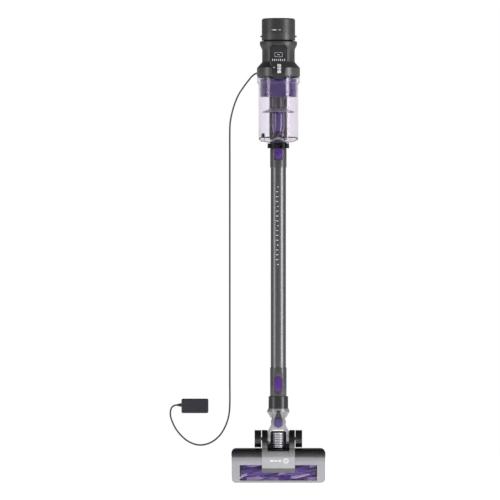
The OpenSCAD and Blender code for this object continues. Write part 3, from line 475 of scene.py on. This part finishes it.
cap_low, cap_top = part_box("exhaust_cap")
cap_r = (cap_top.y - cap_low.y) / 2
groove_pitch = 3.6 * mm
groove_depth = 0.7 * mm
cap_wall = 2.5 * mm
cap_under = cap_top.z - 3 * mm
cap_outline = [(0, cap_top.z), (cap_r - 3 * mm, cap_top.z, 0.8 * mm), (cap_r, cap_under, 0.8 * mm)]
for i in range(9):
    z = cap_top.z - 7.5 * mm - i * groove_pitch
    cap_outline += [(cap_r, z + 1.1 * mm), (cap_r - groove_depth, z + 0.8 * mm),
                    (cap_r - groove_depth, z + 0.3 * mm), (cap_r, z)]
cap_outline += [(cap_r, cap_low.z, 0.6 * mm), (cap_r - cap_wall, cap_low.z),
                (cap_r - cap_wall, cap_under), (0, cap_under)]
cap = turned("exhaust_cap_shell", cap_outline, motor_axis)
slot_count = 16
slot_from, slot_to, slot_half, slot_corner = 14 * mm, 32 * mm, 1.4 * mm, 1.3 * mm
slots = []
for i in range(slot_count):
    slot_cutter = slab("slot", [(slot_from, -slot_half, slot_corner), (slot_to, -slot_half, slot_corner),
                                (slot_to, slot_half, slot_corner), (slot_from, slot_half, slot_corner)],
                       cap_top.z - 5 * mm, cap_top.z + 1 * mm, "Z")
    slot_cutter.data.transform(Matrix.Translation((0, motor_axis.y, 0))
                               @ Matrix.Rotation(math.radians(i * 360 / slot_count), 4, "Z"))
    slots.append(slot_cutter)
cut(cap, joined("slots", slots))
tab_reach = cap_top.x
tab_root, tab_end = 9 * mm, 7.5 * mm
tabs = [slab("tab", [(side * (cap_r - 1 * mm), motor_axis.y - tab_root, 0),
                     (side * tab_reach, motor_axis.y - tab_end, 1.5 * mm),
                     (side * tab_reach, motor_axis.y + tab_end, 1.5 * mm),
                     (side * (cap_r - 1 * mm), motor_axis.y + tab_root, 0)],
             cap_low.z + 8 * mm, cap_low.z + 11 * mm, "Z", bevel=0.5 * mm) for side in (-1, 1)]
cap = joined("exhaust_cap_shell", [cap, *tabs])
tidy_again(cap)
shell_abs = plastic("moulded ABS, charcoal", 0x333335, 0.4, grain=0.6)
dress(cap, shell_abs, "exhaust", "dark_shell", "exhaust_cap")


def curved_mark(name, radius, centre, low, top, turn, width, thick=0.25 * mm):
    """A thin printed plate on an upright round surface, turned this many degrees from the front."""
    start = math.radians(turn) - width / radius / 2
    base = Vector((centre.x, centre.y, 0))
    points = [base + Vector((math.sin(start) * radius, -math.cos(start) * radius, z))
              for z in (low, top)]
    piece = chain(name, points, closed=False)
    bpy.ops.mesh.spin(steps=12, angle=width / radius, center=base, axis=(0, 0, 1))
    bpy.ops.object.mode_set(mode="OBJECT")
    modify(piece, "SOLIDIFY", thickness=thick, offset=0)
    fresh()
    piece.select_set(True)
    bpy.context.view_layer.objects.active = piece
    return tidy(piece)


ink = plastic("pad-printed pale grey ink", 0xd9d9dc, 0.5, grain=0.3, depth=0.005, drift=0.04)
badge_z = cap_low.z + 23.5 * mm
badge = joined("cap_badge", [
    curved_mark("badge_part", cap_r, motor_axis, badge_z - high / 2, badge_z + high / 2, turn, width)
    for turn, width, high in ((-13, 5 * mm, 1.2 * mm), (-1, 9 * mm, 2.2 * mm), (11, 5 * mm, 1.2 * mm))])
dress(badge, ink, "exhaust", "dark_shell")

filter_low, filter_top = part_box("hepa_filter")
filter_r = (filter_top.x - filter_low.x) / 2
pleats = 48
pleat_outline = []
for i in range(pleats):
    for r, share in ((filter_r, 0.0), (filter_r, 0.3), (filter_r - 6 * mm, 0.5),
                     (filter_r - 6 * mm, 0.8)):
        turn = 2 * math.pi * (i + share) / pleats
        pleat_outline.append((math.cos(turn) * r, motor_axis.y + math.sin(turn) * r))
exhaust_filter = slab("pleated_filter", pleat_outline, filter_low.z, filter_top.z, "Z")
paper = plastic("pleated glass-fibre paper", 0xe9e8e2, 0.85, grain=0.4, depth=0.05)
dress(exhaust_filter, paper, "main_unit", "filter_white", "hepa_filter")


# ---------- Motor housing and shoulder ----------
# Two turned-looking ABS mouldings. The housing narrows to a neck for the hand to pass and has a
# rolled flange under the cap, and the smooth shoulder ring below it takes the dust cup.

house_low, house_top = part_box("motor_housing")
ring_low, ring_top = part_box("shoulder_ring")
shoulder_r = (ring_top.x - ring_low.x) / 2
neck_r = 39 * mm
flange_r = 44.5 * mm
wall = 3 * mm
neck_low_z = house_low.z + 14 * mm
neck_top_z = house_top.z - 20 * mm
housing = turned("motor_housing_shell", [
    (shoulder_r, house_low.z, 1.2 * mm), (neck_r, neck_low_z, 6 * mm), (neck_r, neck_top_z, 9 * mm),
    (flange_r, house_top.z - 9 * mm, 4 * mm), (flange_r, house_top.z, 3.5 * mm),
    (neck_r - wall, house_top.z), (neck_r - wall, neck_low_z - 1 * mm),
    (shoulder_r - wall, house_low.z)], motor_axis)
dress(housing, shell_abs, "main_unit", "dark_shell", "motor_housing")
shoulder = turned("shoulder_band", [
    (shoulder_r, ring_low.z, 1 * mm), (shoulder_r, ring_top.z, 0.6 * mm),
    (shoulder_r - wall, ring_top.z), (shoulder_r - wall, ring_low.z)], motor_axis)
dress(shoulder, plastic("moulded ABS, slate grey", 0x424244, 0.3, grain=0.6), "main_unit",
      "shoulder_grey", "shoulder_ring")


# ---------- Control panel ----------
# A separate satin ABS moulding clipped to the front of the neck. It holds a smoked
# display window, printed level marks and the satin slide that switches the power.

panel = copied("control_panel", "panel_shell", bevel=0.9 * mm, segments=3)
panel_abs = plastic("moulded ABS, satin charcoal", 0x2c2c2e, 0.34, grain=0.5, coat=0.15)
dress(panel, panel_abs, "main_unit", "panel_black", "control_panel")

lens_low, lens_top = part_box("display_lens")
lens = copied("display_lens", "display_window", bevel=0.3 * mm)
smoked = plastic("smoked acrylic", 0x0e0e11, 0.06, grain=3, depth=0.002, coat=1.0)
dress(lens, smoked, "main_unit", "display_glass", "display_lens")


def lean(plate, low, top):
    """Moves an upright plate on to a surface that leans between two (depth, height) points."""
    for vertex in plate.data.vertices:
        vertex.co.y += low[0] + (vertex.co.z - low[1]) * (top[0] - low[0]) / (top[1] - low[1])
    return plate


def mark(x, half, low, top, surface, radius=0.4 * mm):
    """A small printed plate on a leaning surface."""
    plate = slab("mark", [(x - half, low, radius), (x + half, low, radius), (x + half, top, radius),
                          (x - half, top, radius)],
                 -0.15 * mm, 0.15 * mm, "Y")
    return lean(plate, *surface)


panel_low, panel_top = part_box("control_panel")
face_top = (motor_axis.y - 44 * mm, panel_top.z)
face_mid = (motor_axis.y - 47 * mm, house_low.z + 20 * mm)
face_low = (panel_low.y, house_low.z - 14 * mm)
lens_z = (lens_low.z + lens_top.z) / 2
line = 0.3 * mm
upper_face, lower_face = (face_mid, face_top), (face_low, face_mid)
frame_half = 8.8 * mm
frame_low, frame_top = lens_low.z + 1.2 * mm, lens_top.z - 1.2 * mm
marks = [mark(x, line, frame_low, frame_top, upper_face, 0) for x in (-frame_half, frame_half)]
marks += [mark(0, frame_half + line, z - line, z + line, upper_face, 0) for z in (frame_low, frame_top)]
marks.append(mark(0, 2.6 * mm, lens_z - 0.7 * mm, lens_z + 0.7 * mm, upper_face))
mark_z = face_mid[1] - 2.6 * mm
dash_pitch = 4.8
for i, height in enumerate((5.2, 4.4, 3.8, 4.4, 5.2, 4.4, 4.8)):
    half = height * mm / 2
    marks.append(mark((i - 3) * dash_pitch * mm, 0.9 * mm, mark_z - half, mark_z + half, lower_face))
marks.append(mark(-11 * mm, 1.6 * mm, mark_z - 19 * mm, mark_z - 17.2 * mm, lower_face))
dress(joined("panel_print", marks), ink, "main_unit", "panel_black")

satin = plastic("satin-sprayed ABS, silver", 0xe0e0e3, 0.3, grain=0.4, metallic=0.2)
slide = copied("power_slide", "power_slide_cap", bevel=0.5 * mm, segments=3)
slide_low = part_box("power_slide")[0]
groove_half, groove_rise = 10 * mm, 0.7 * mm
cut(slide, *[slab("slide_groove", [(-groove_half, z - groove_rise), (groove_half, z - groove_rise),
                                   (groove_half, z + groove_rise), (-groove_half, z + groove_rise)],
                  slide_low.y - 1 * mm, motor_axis.y - 50 * mm, "Y")
             for z in (slide_low.z + 8.5 * mm, slide_low.z + 15 * mm)])
dress(slide, satin, "switch", "silver_plastic", "power_slide")


# ---------- Duct and cyclone ----------
# The moulded air duct behind the cup, and the purple cyclone body, fine steel mesh, grey skirt
# and gloss cone that hang inside the cup and spin the dust out of the air.

duct = copied("inlet_duct", "inlet_duct_shell", bevel=0.4 * mm)
dress(duct, plastic("moulded ABS, black", 0x29292a, 0.4, grain=0.6), "main_unit", "duct_dark",
      "inlet_duct")

purple_gloss = plastic("polished ABS, deep purple", 0x2f0d58, 0.14, grain=2, depth=0.004, coat=0.6)
cyclone = copied("cyclone_top", "cyclone_body", bevel=0.4 * mm)
dress(cyclone, purple_gloss, "main_unit", "cyclone_purple", "cyclone_top")

mesh_low, mesh_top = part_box("mesh_shroud")
mesh_r = (mesh_top.x - mesh_low.x) / 2
mesh_wall = 1 * mm
shroud = turned("mesh_tube", [(mesh_r, mesh_low.z), (mesh_r, mesh_top.z),
                              (mesh_r - mesh_wall, mesh_top.z), (mesh_r - mesh_wall, mesh_low.z)],
                motor_axis, steps=64)
mesh_steel = bpy.data.materials.new("etched stainless mesh")
mesh_steel.use_nodes = True
mesh_shader = mesh_steel.node_tree.nodes["Principled BSDF"]
hole_pitch = 1.6 * mm     # the real holes are 0.5 mm apart, drawn coarser so that they show
place = add(mesh_steel, "TexCoord").outputs["Object"]
holes = add(mesh_steel, "TexVoronoi", {"Vector": place, "Scale": 1 / hole_pitch, "Randomness": 0.1})
hole_edge = add(mesh_steel, "MapRange",
                {"Value": holes.outputs["Distance"], "From Min": 0.28, "From Max": 0.4})
hole_tone = add(mesh_steel, "Mix",
                {0: hole_edge.outputs["Result"], 6: linear(0x050505), 7: linear(0x4a4648)},
                data_type="RGBA")
mesh_steel.node_tree.links.new(hole_tone.outputs[2], mesh_shader.inputs["Base Color"])
mesh_shader.inputs["Metallic"].default_value = 0.8
mesh_shader.inputs["Roughness"].default_value = 0.35
dress(shroud, mesh_steel, "main_unit", "mesh_black", "mesh_shroud")

skirt = copied("shroud_skirt", "cyclone_skirt", bevel=0.3 * mm)
dress(skirt, plastic("moulded polypropylene, grey", 0x77747c, 0.3, grain=0.8), "main_unit",
      "skirt_grey", "shroud_skirt")

cone_low, cone_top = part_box("cyclone_cone")
cone_r = (cone_top.x - cone_low.x) / 2
cone = turned("cyclone_cone_shell", [
    (cone_r - 2 * mm, cone_top.z), (cone_r, cone_top.z, 0.6 * mm), (cone_r, cone_low.z + 14 * mm, 6 * mm),
    (cone_r - 3.2 * mm, cone_low.z, 0.8 * mm), (cone_r - 5 * mm, cone_low.z),
    (cone_r - 2 * mm, cone_low.z + 15 * mm)], motor_axis)
dress(cone, purple_gloss, "main_unit", "cyclone_purple", "cyclone_cone")


# ---------- Dust cup ----------
# The clear polycarbonate cup wraps the duct with a channel of its own. Its domed lid swings down
# on a steel pin at the front, seals with a black rubber gasket and is held by a sprung latch.

clear = bpy.data.materials.new("clear polycarbonate")
clear.use_nodes = True
clear_shader = clear.node_tree.nodes["Principled BSDF"]
place = add(clear, "TexCoord").outputs["Object"]
haze = add(clear, "TexNoise", {"Vector": place, "Scale": 1 / (25 * mm), "Detail": 3.0})
haze_polish = add(clear, "MapRange", {"Value": haze.outputs["Fac"], "To Min": 0.01, "To Max": 0.05})
clear.node_tree.links.new(haze_polish.outputs["Result"], clear_shader.inputs["Roughness"])
clear_shader.inputs["Base Color"].default_value = linear(0xf3eff6)
clear_shader.inputs["Transmission Weight"].default_value = 1.0
clear_shader.inputs["IOR"].default_value = 1.22
rubber = plastic("moulded rubber, black", 0x151515, 0.6, grain=0.5, depth=0.03)


def post(name, radius, low, top, axis_place, steps=96):
    """A plain round cutter, which never shows."""
    return turned(name, [(0, low), (radius, low), (radius, top), (0, top)], axis_place, steps=steps)


cup_low, cup_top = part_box("dust_cup")
cup_wall = 2 * mm
cup_r = 47 * mm
ring_r = (cup_top.x - cup_low.x) / 2
channel_r = 26 * mm
cup_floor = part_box("lid_gasket")[0].z + 0.3 * mm
step_z = cup_top.z - 18 * mm
cup_shell = turned("cup_wall", [
    (cup_r, cup_floor, 0.5 * mm), (cup_r + 0.3 * mm, step_z - 12.6 * mm),
    (cup_r - 0.4 * mm, step_z - 12.2 * mm), (cup_r - 0.4 * mm, step_z - 11.4 * mm),
    (cup_r + 0.3 * mm, step_z - 11 * mm), (cup_r + 0.5 * mm, step_z, 4 * mm),
    (ring_r, step_z + 4 * mm, 4 * mm), (ring_r, cup_top.z, 0.6 * mm),
    (ring_r - cup_wall, cup_top.z), (ring_r - cup_wall, step_z + 4 * mm, 4 * mm),
    (cup_r + 0.5 * mm - cup_wall, step_z, 4 * mm), (cup_r - cup_wall, cup_floor)],
    motor_axis, steps=128)
cut(cup_shell, post("channel_space", channel_r - 0.01 * mm, cup_floor - 5 * mm, cup_top.z + 5 * mm,
                    wand_axis))
channel = turned("cup_channel", [
    (channel_r, cup_floor), (channel_r, cup_top.z), (channel_r - cup_wall, cup_top.z),
    (channel_r - cup_wall, cup_floor)], wand_axis)
cup_inside = post("cup_inside", cup_r, cup_floor - 1 * mm, cup_top.z + 1 * mm, motor_axis)
modify(channel, "BOOLEAN", object=cup_inside, operation="INTERSECT", solver="EXACT")
bpy.data.objects.remove(cup_inside)
cup = joined("dust_cup_clear", [cup_shell, channel])
tidy_again(cup, 30)
dress(cup, clear, "cup", "clear_cup", "dust_cup")
seal = copied("cup_seal", "cup_rim_seal", bevel=0.3 * mm)
dress(seal, rubber, "cup", "rubber_black", "cup_seal")
gasket = copied("lid_gasket", "lid_ring_gasket", bevel=0.4 * mm)
dress(gasket, rubber, "lid", "rubber_black", "lid_gasket")
lid = copied("cup_lid", "lid_clear", bevel=0.0, angle=50)
smoked_clear = clear.copy()
smoked_clear.name = "clear polycarbonate, black inside its collar"


def painted(material, colour, start, end):
    """Mixes a colour into a material from none of it at one height to all of it at another."""
    shader = material.node_tree.nodes["Principled BSDF"]
    tone = shader.inputs["Base Color"]
    under = tone.links[0].from_socket if tone.links else tuple(tone.default_value)
    height = add(material, "SeparateXYZ", {"Vector": add(material, "TexCoord").outputs["Object"]})
    share = add(material, "MapRange",
                {"Value": height.outputs["Z"], "From Min": start, "From Max": end})
    mixed = add(material, "Mix", {0: share.outputs["Result"], 6: under, 7: linear(colour)},
                data_type="RGBA")
    material.node_tree.links.new(mixed.outputs[2], tone)
    return mixed


collar_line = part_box("cup_lid")[0].z + 12 * mm
painted(smoked_clear, 0x101011, collar_line, collar_line - 1 * mm)
dress(lid, smoked_clear, "lid", "clear_cup", "cup_lid")
latch = copied("lid_latch", "latch_lever", bevel=0.4 * mm)
button_abs = plastic("moulded ABS, purple", 0x45206e, 0.3, grain=0.6, coat=0.25)
dress(latch, shell_abs, "latch", "button_purple", "lid_latch")


# ---------- Handle and battery ----------
# The handle is two ABS halves held by four screws. Its foot hangs on the wall dock and takes the
# battery pack from below, which two purple buttons release.

for node, edge in (("handle_left", 1.0 * mm), ("handle_right", 1.0 * mm), ("battery_foot", 1.2 * mm)):
    piece = copied(node, node + "_shell", bevel=edge, segments=3)
    dress(piece, shell_abs, "main_unit", "dark_shell", node)
pack = copied("battery_shell", "battery_pack_shell", bevel=1.5 * mm, segments=3)
dress(pack, plastic("moulded ABS, black", 0x222223, 0.45, grain=0.6), "battery", "dark_shell",
      "battery_shell")
for side in ("left", "right"):
    piece = copied(f"battery_button_{side}", f"pack_button_{side}_cap", bevel=0.8 * mm, segments=3)
    dress(piece, button_abs, f"pack_button_{side}", "button_purple", f"battery_button_{side}")
jack = copied("charge_jack", "charge_socket", bevel=0.25 * mm)
dress(jack, rubber, "main_unit", "rubber_black", "charge_jack")


# ---------- Wand ----------
# A drawn and anodised aluminium tube pressed into two moulded sleeves. The sleeves plug on to the
# spigots of the cleaner and of the neck, and a purple button on each lets it go.

tube_low, tube_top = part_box("wand_tube")
tube_r = (tube_top.x - tube_low.x) / 2
tube_wall = 1.5 * mm
tube = turned("aluminium_tube", [(tube_r, tube_low.z), (tube_r, tube_top.z),
                                 (tube_r - tube_wall, tube_top.z), (tube_r - tube_wall, tube_low.z)],
              wand_axis, steps=128)
anodised = bpy.data.materials.new("anodised aluminium, graphite")
anodised.use_nodes = True
tube_shader = anodised.node_tree.nodes["Principled BSDF"]
place = add(anodised, "TexCoord").outputs["Object"]
drawn = add(anodised, "Mapping",
            {"Vector": place, "Scale": (1 / (0.6 * mm), 1 / (0.6 * mm), 1 / (90 * mm))})
streaks = add(anodised, "TexNoise", {"Vector": drawn.outputs["Vector"], "Scale": 1.0, "Detail": 2.0})
streak_tone = add(anodised, "Mix",
                  {0: streaks.outputs["Fac"], 6: linear(0x5a5a5d), 7: linear(0x6d6d70)},
                  data_type="RGBA")
streak_polish = add(anodised, "MapRange",
                    {"Value": streaks.outputs["Fac"], "To Min": 0.27, "To Max": 0.4})
anodised.node_tree.links.new(streak_tone.outputs[2], tube_shader.inputs["Base Color"])
anodised.node_tree.links.new(streak_polish.outputs["Result"], tube_shader.inputs["Roughness"])
tube_shader.inputs["Metallic"].default_value = 0.85
dress(tube, anodised, "wand", "tube_grey", "wand_tube")

sleeve_abs = plastic("moulded ABS, satin grey", 0x434345, 0.3, grain=0.6, metallic=0.2)
upper = copied("upper_sleeve", "upper_sleeve_shell", bevel=0.5 * mm)
dress(upper, sleeve_abs, "wand", "sleeve_grey", "upper_sleeve")
lower = copied("lower_sleeve", "lower_sleeve_shell", bevel=0.5 * mm)
dress(lower, sleeve_abs, "wand", "sleeve_grey", "lower_sleeve")
for node, body in (("upper_button", "wand_button_top"), ("lower_button", "wand_button_low")):
    piece = copied(node, node + "_cap", bevel=0.7 * mm, segments=4)
    dress(piece, button_abs, body, "button_purple", node)

tick_count = 17
tick_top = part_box("upper_sleeve")[0].z - 47 * mm
tick_pitch = 11.6 * mm
tick_half = 0.8 * mm
ticks = []
for i in range(tick_count):
    z = tick_top - i * tick_pitch
    width = (5.2 if i % 4 else 3.4) * mm
    ticks.append(curved_mark("tick", tube_r, wand_axis, z - tick_half, z + tick_half, 7, width, 0.2 * mm))
dress(joined("wand_ticks", ticks), ink, "wand", "tube_grey")


# ---------- Neck and fork ----------
# The collar and its flare plug into the wand. The silver fork swivels on a capped pin between the
# flare's two ears, and the ribbed hose inside the fork carries the air to the head.

collar = copied("neck_collar", "neck_collar_shell", bevel=0.7 * mm, segments=3)
collar_abs = plastic("moulded ABS, charcoal and sprayed grey", 0x303032, 0.3, grain=0.6, metallic=0.25)
flare_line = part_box("neck_collar")[0].z + 45.5 * mm       # painted highlight: light grey below this, but for its dark stem
# Painted highlight: the flare under this line is painted light grey, except for a narrowing charcoal
# wedge for the stem.
flare_highlight = painted(collar_abs, 0x858587, flare_line + 0.1 * mm, flare_line - 0.1 * mm)
spot = add(collar_abs, "SeparateXYZ", {"Vector": add(collar_abs, "TexCoord").outputs["Object"]})
across = add(collar_abs, "Math", {0: spot.outputs["X"]}, operation="ABSOLUTE")
taper = add(collar_abs, "MapRange", {"Value": spot.outputs["Z"], "From Min": flare_line - 26 * mm,
                                     "From Max": flare_line - 6 * mm, "To Min": 10 * mm,
                                     "To Max": 3.5 * mm})
within = add(collar_abs, "Math", {0: across.outputs[0], 1: taper.outputs["Result"]},
             operation="LESS_THAN")
under = add(collar_abs, "Math", {0: spot.outputs["Z"], 1: flare_line - 5 * mm}, operation="LESS_THAN")
both = add(collar_abs, "Math", {0: within.outputs[0], 1: under.outputs[0]}, operation="MULTIPLY")
stem = add(collar_abs, "Mix", {0: both.outputs[0], 6: flare_highlight.outputs[2], 7: linear(0x2c2c2e)},
           data_type="RGBA")
collar_abs.node_tree.links.new(stem.outputs[2],
                               collar_abs.node_tree.nodes["Principled BSDF"].inputs["Base Color"])
dress(collar, collar_abs, "neck", "collar_grey", "neck_collar")
pivot_cap = copied("swivel_cap", "swivel_pin_cap", bevel=0.8 * mm, segments=4)
dress(pivot_cap, plastic("moulded ABS, muted purple", 0x4b3a6c, 0.35, grain=0.6), "neck",
      "button_purple", "swivel_cap")
fork = copied("yoke", "fork_shell", bevel=1.0 * mm, segments=3)
dress(fork, plastic("sprayed ABS, silver", 0x9c9ca0, 0.32, grain=0.4, metallic=0.45), "fork",
      "yoke_silver", "yoke")

hose_low, hose_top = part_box("neck_hose")
hose_r = (hose_top.x - hose_low.x) / 2
rib_count = 9
rib_pitch = (hose_top.z - hose_low.z) / rib_count
hose_outline = []
for i in range(rib_count):
    z = hose_low.z + i * rib_pitch
    hose_outline += [(hose_r - 1.9 * mm, z + 0.05 * rib_pitch, 0.4 * mm),
                     (hose_r, z + 0.28 * rib_pitch, 0.5 * mm),
                     (hose_r, z + 0.72 * rib_pitch, 0.5 * mm),
                     (hose_r - 1.9 * mm, z + 0.95 * rib_pitch, 0.4 * mm)]
hose_outline += [(hose_r - 3 * mm, hose_top.z - 0.05 * rib_pitch),
                 (hose_r - 3 * mm, hose_low.z + 0.05 * rib_pitch)]
hose = turned("ribbed_hose", hose_outline, wand_axis, steps=64)
hose_pvc = plastic("sprayed flexible PVC, silver", 0xcfced4, 0.25, grain=0.6, metallic=0.35)
groove_shade = plastic("flexible PVC, painted shade in the grooves", 0x5d5c62, 0.5, grain=0.6)
hose.data.materials.append(hose_pvc)
hose.data.materials.append(groove_shade)
# Painted shade: the faces down in the grooves between the ribs get the darker grey material.
for face in hose.data.polygons:
    if (face.center - Vector((wand_axis.x, wand_axis.y, face.center.z))).length < hose_r - 0.6 * mm:
        face.material_index = 1
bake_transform(hose)
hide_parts("neck_hose")


# ---------- Floor head ----------
# The head is a sprayed ABS cover over a black base, with a clear window over the brush and a
# light centre cover. The base's two arms carry the fork and the rear wheels on steel pins.

floor_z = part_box("head_base")[0].z        # the head's front edge, which heights on the head count from


def on_head(height):
    return floor_z + height * mm


black_abs = plastic("moulded ABS, black", 0x161617, 0.28, grain=0.6, coat=0.3)
cover_paint_and_shade = plastic("sprayed ABS, graphite silver", 0x929196, 0.25, grain=0.4, metallic=0.75)
# Painted shade: darker along the lowest 5 mm of the front edge, where the cover turns under towards the
# floor, and nearly black from 50 to 82 mm up, where it curves over the top away from the lights.
painted(cover_paint_and_shade, 0x4a4a4c, on_head(5), on_head(0))
painted(cover_paint_and_shade, 0x141415, on_head(50), on_head(82))
head_cover = copied("head_cover", "head_cover_shell", bevel=1.2 * mm, segments=4)
dress(head_cover, cover_paint_and_shade, "head", "head_grey", "head_cover")
base = copied("head_base", "head_base_shell", bevel=0.8 * mm, segments=3)
dress(base, black_abs, "head", "head_dark", "head_base")
centre = copied("centre_cover", "centre_cover_shell", bevel=0.7 * mm, segments=3)
centre_paint_and_shade = plastic("sprayed ABS, pale grey", 0x9c9c9f, 0.3, grain=0.4, metallic=0.4)
# Painted shade: nearly black from 72 to 100 mm up, where the pale cover curves over the top, and darker
# grey below 36 mm, along the lip that slopes down to the window.
painted(centre_paint_and_shade, 0x121213, on_head(72), on_head(100))
painted(centre_paint_and_shade, 0x5c5c5e, on_head(37), on_head(36))
dress(centre, centre_paint_and_shade, "head", "cover_grey", "centre_cover")

centre_face = ((wand_axis.y - 29.7 * mm, on_head(22.3)), (wand_axis.y - 35.8 * mm, on_head(59.4)))
badge_z = on_head(54.5)
ring_x = 18 * mm
ring_mark = turned("ring_mark",
                   [(4.2 * mm, -0.15 * mm), (6.2 * mm, -0.15 * mm), (6.2 * mm, 0.15 * mm),
                    (4.2 * mm, 0.15 * mm)], (ring_x, 0, badge_z), axis="Y", steps=48)
ring_mark = lean(ring_mark, *centre_face)
dot_mark = mark(ring_x, 1.8 * mm, badge_z - 0.9 * mm, badge_z + 0.9 * mm, centre_face)
head_badge = joined("head_badge", [ring_mark, dot_mark] + [
    mark(x * mm, half * mm, badge_z - 1.7 * mm, badge_z + 1.7 * mm, centre_face)
    for x, half in ((-16, 4), (-6.5, 3), (2.5, 4))])
dress(head_badge, ink, "head", "cover_grey")

window = copied("head_window", "brush_window", bevel=0.3 * mm)
rib_half, rib_low, rib_top = 92 * mm, on_head(19.6), on_head(21.4)
window_rib = slab("window_rib", [(-rib_half, rib_low, 0.8 * mm), (rib_half, rib_low, 0.8 * mm),
                                 (rib_half, rib_top, 0.8 * mm), (-rib_half, rib_top, 0.8 * mm)],
                  wand_axis.y - 28.2 * mm, wand_axis.y - 26.9 * mm, bevel=0.4 * mm)
window = joined("brush_window", [window, window_rib])
dress(window, clear, "head", "clear_window", "head_window")


# ---------- Brush and its drive ----------
# A purple roller with six twisted rows, stiff bristle and soft lilac felt by turns. A small motor
# turns it by a toothed rubber belt at the right-hand end.

brush_axis = middle("brush_core")
core_half, core_r = 84 * mm, 14 * mm
bearing_out, bearing_r = 91 * mm, 13.5 * mm
pulley_in, pulley_out, pulley_r = 98 * mm, 104 * mm, 12 * mm
shaft_end, shaft_r = 109 * mm, 3 * mm
brush_purple = plastic("moulded nylon, purple", 0x481f82, 0.22, grain=0.8, coat=0.4)
core = turned("brush_roller", [(0, -core_half), (core_r, -core_half, 0.5 * mm),
                               (core_r, core_half, 0.5 * mm), (0, core_half)],
              brush_axis, axis="X", steps=64)
dress(core, brush_purple, "brush_roll", "bristle_purple", "brush_core")
ends = []
for side in (-1, 1):
    reach = shaft_end if side < 0 else pulley_in
    outline = [(0, side * core_half), (bearing_r, side * core_half),
               (bearing_r, side * bearing_out, 0.5 * mm), (shaft_r, side * bearing_out),
               (shaft_r, side * reach), (0, side * reach)]
    ends.append(turned("brush_end", outline, brush_axis, axis="X", steps=48))
pulley = [(0, pulley_in), (pulley_r, pulley_in, 0.4 * mm), (pulley_r, pulley_out, 0.4 * mm),
          (shaft_r, pulley_out), (shaft_r, shaft_end), (0, shaft_end)]
ends.append(turned("brush_pulley", pulley, brush_axis, axis="X", steps=48))
dress(joined("brush_end_bearings", ends), black_abs, "brush_roll", "bristle_purple")

rows = copied("brush_bristles", "brush_rows", angle=40)
bristle = plastic("nylon bristle, purple", 0x48208a, 0.5, grain=0.3, depth=0.15)
felt = plastic("felt strip, lilac", 0xb9a4d2, 0.8, grain=0.4, depth=0.1)
dress(rows, bristle, "brush_roll", "bristle_purple", "brush_bristles")
rows.data.materials.append(felt)
rows_low, rows_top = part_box("brush_bristles")
row_count = 6
row_turn = math.radians(150)
for face in rows.data.polygons:
    spot = face.center
    along = (spot.x - rows_low.x) / (rows_top.x - rows_low.x)
    turn = math.atan2(spot.y - brush_axis.y, -(spot.z - brush_axis.z)) - row_turn * along
    face.material_index = round(turn / (2 * math.pi / row_count)) % 2

steel = plastic("turned steel", 0x9a9a9c, 0.25, grain=0.3, metallic=1.0)
dress_node("head_motor", steel)
dress_node("motor_pinion", steel)
dress_node("drive_belt", rubber)
dress_node("hinge_axles", steel)


# ---------- Wheels and rollers ----------
# Two rear wheels in black ABS with a grooved rubber tyre turn on the axle pins beside the arms.
# Two small acetal rollers under the sole keep the head off the floor.

bore_r = 4.1 * mm
for side, body, node in ((-1, "rear_wheel_left", "wheel_left"), (1, "rear_wheel_right", "wheel_right")):
    wheel_low, wheel_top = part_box(node)
    axis_place = (wheel_low + wheel_top) / 2
    tyre_r = (wheel_top.z - wheel_low.z) / 2
    near, far = ((wheel_low.x, wheel_top.x) if side > 0 else (-wheel_top.x, -wheel_low.x))
    outline = [(bore_r, near + 1 * mm), (tyre_r - 4 * mm, near + 1 * mm, 0.4 * mm),
               (tyre_r - 3 * mm, near, 0.8 * mm), (tyre_r, near, 1.6 * mm)]
    for i in range(4):
        groove = near + (3.2 + i * 2.9) * mm
        outline += [(tyre_r, groove), (tyre_r - 0.8 * mm, groove + 0.3 * mm),
                    (tyre_r - 0.8 * mm, groove + 0.9 * mm), (tyre_r, groove + 1.2 * mm)]
    outline += [(tyre_r, far, 2.2 * mm), (tyre_r - 4 * mm, far, 0.8 * mm),
                (tyre_r - 5 * mm, far - 1.2 * mm, 0.6 * mm),
                (8 * mm, far - 1.2 * mm, 0.6 * mm), (7 * mm, far, 0.6 * mm), (bore_r, far)]
    wheel = turned(node + "_tyre", [(r, side * x, *rest) for r, x, *rest in outline], axis_place,
                   axis="X", steps=80)
    dress(wheel, black_abs, body, "wheel_black", node)
acetal = plastic("moulded acetal, black", 0x1b1b1c, 0.4, grain=0.5)
dress_node("roller_left", acetal)
dress_node("roller_right", acetal)


# ---------- Pieces inside, seen when it is opened ----------
# The CAD's own solids for the motor, fan, filter foam, board, screws, pins and cells, each with
# the material of the real piece.

dress_node("control_board", plastic("fibreglass board, green", 0x1e4a2c, 0.5, grain=1.2, drift=0.3))
dress_node("motor_can", plastic("plated steel", 0x8d8d90, 0.3, grain=0.4, metallic=1.0))
dress_node("fan_shaft", steel)
dress_node("impeller", plastic("moulded nylon, white", 0xe4e3df, 0.4, grain=0.6))
dress_node("pre_filter", plastic("open-cell foam, grey", 0x8b949c, 0.95, grain=1.5, depth=0.5))
dress_node("lid_pins", steel)
dress_node("handle_screws", steel)
dress_node("battery_cells", plastic("PVC cell sleeve, green", 0x2f8a5b, 0.35, grain=0.6))
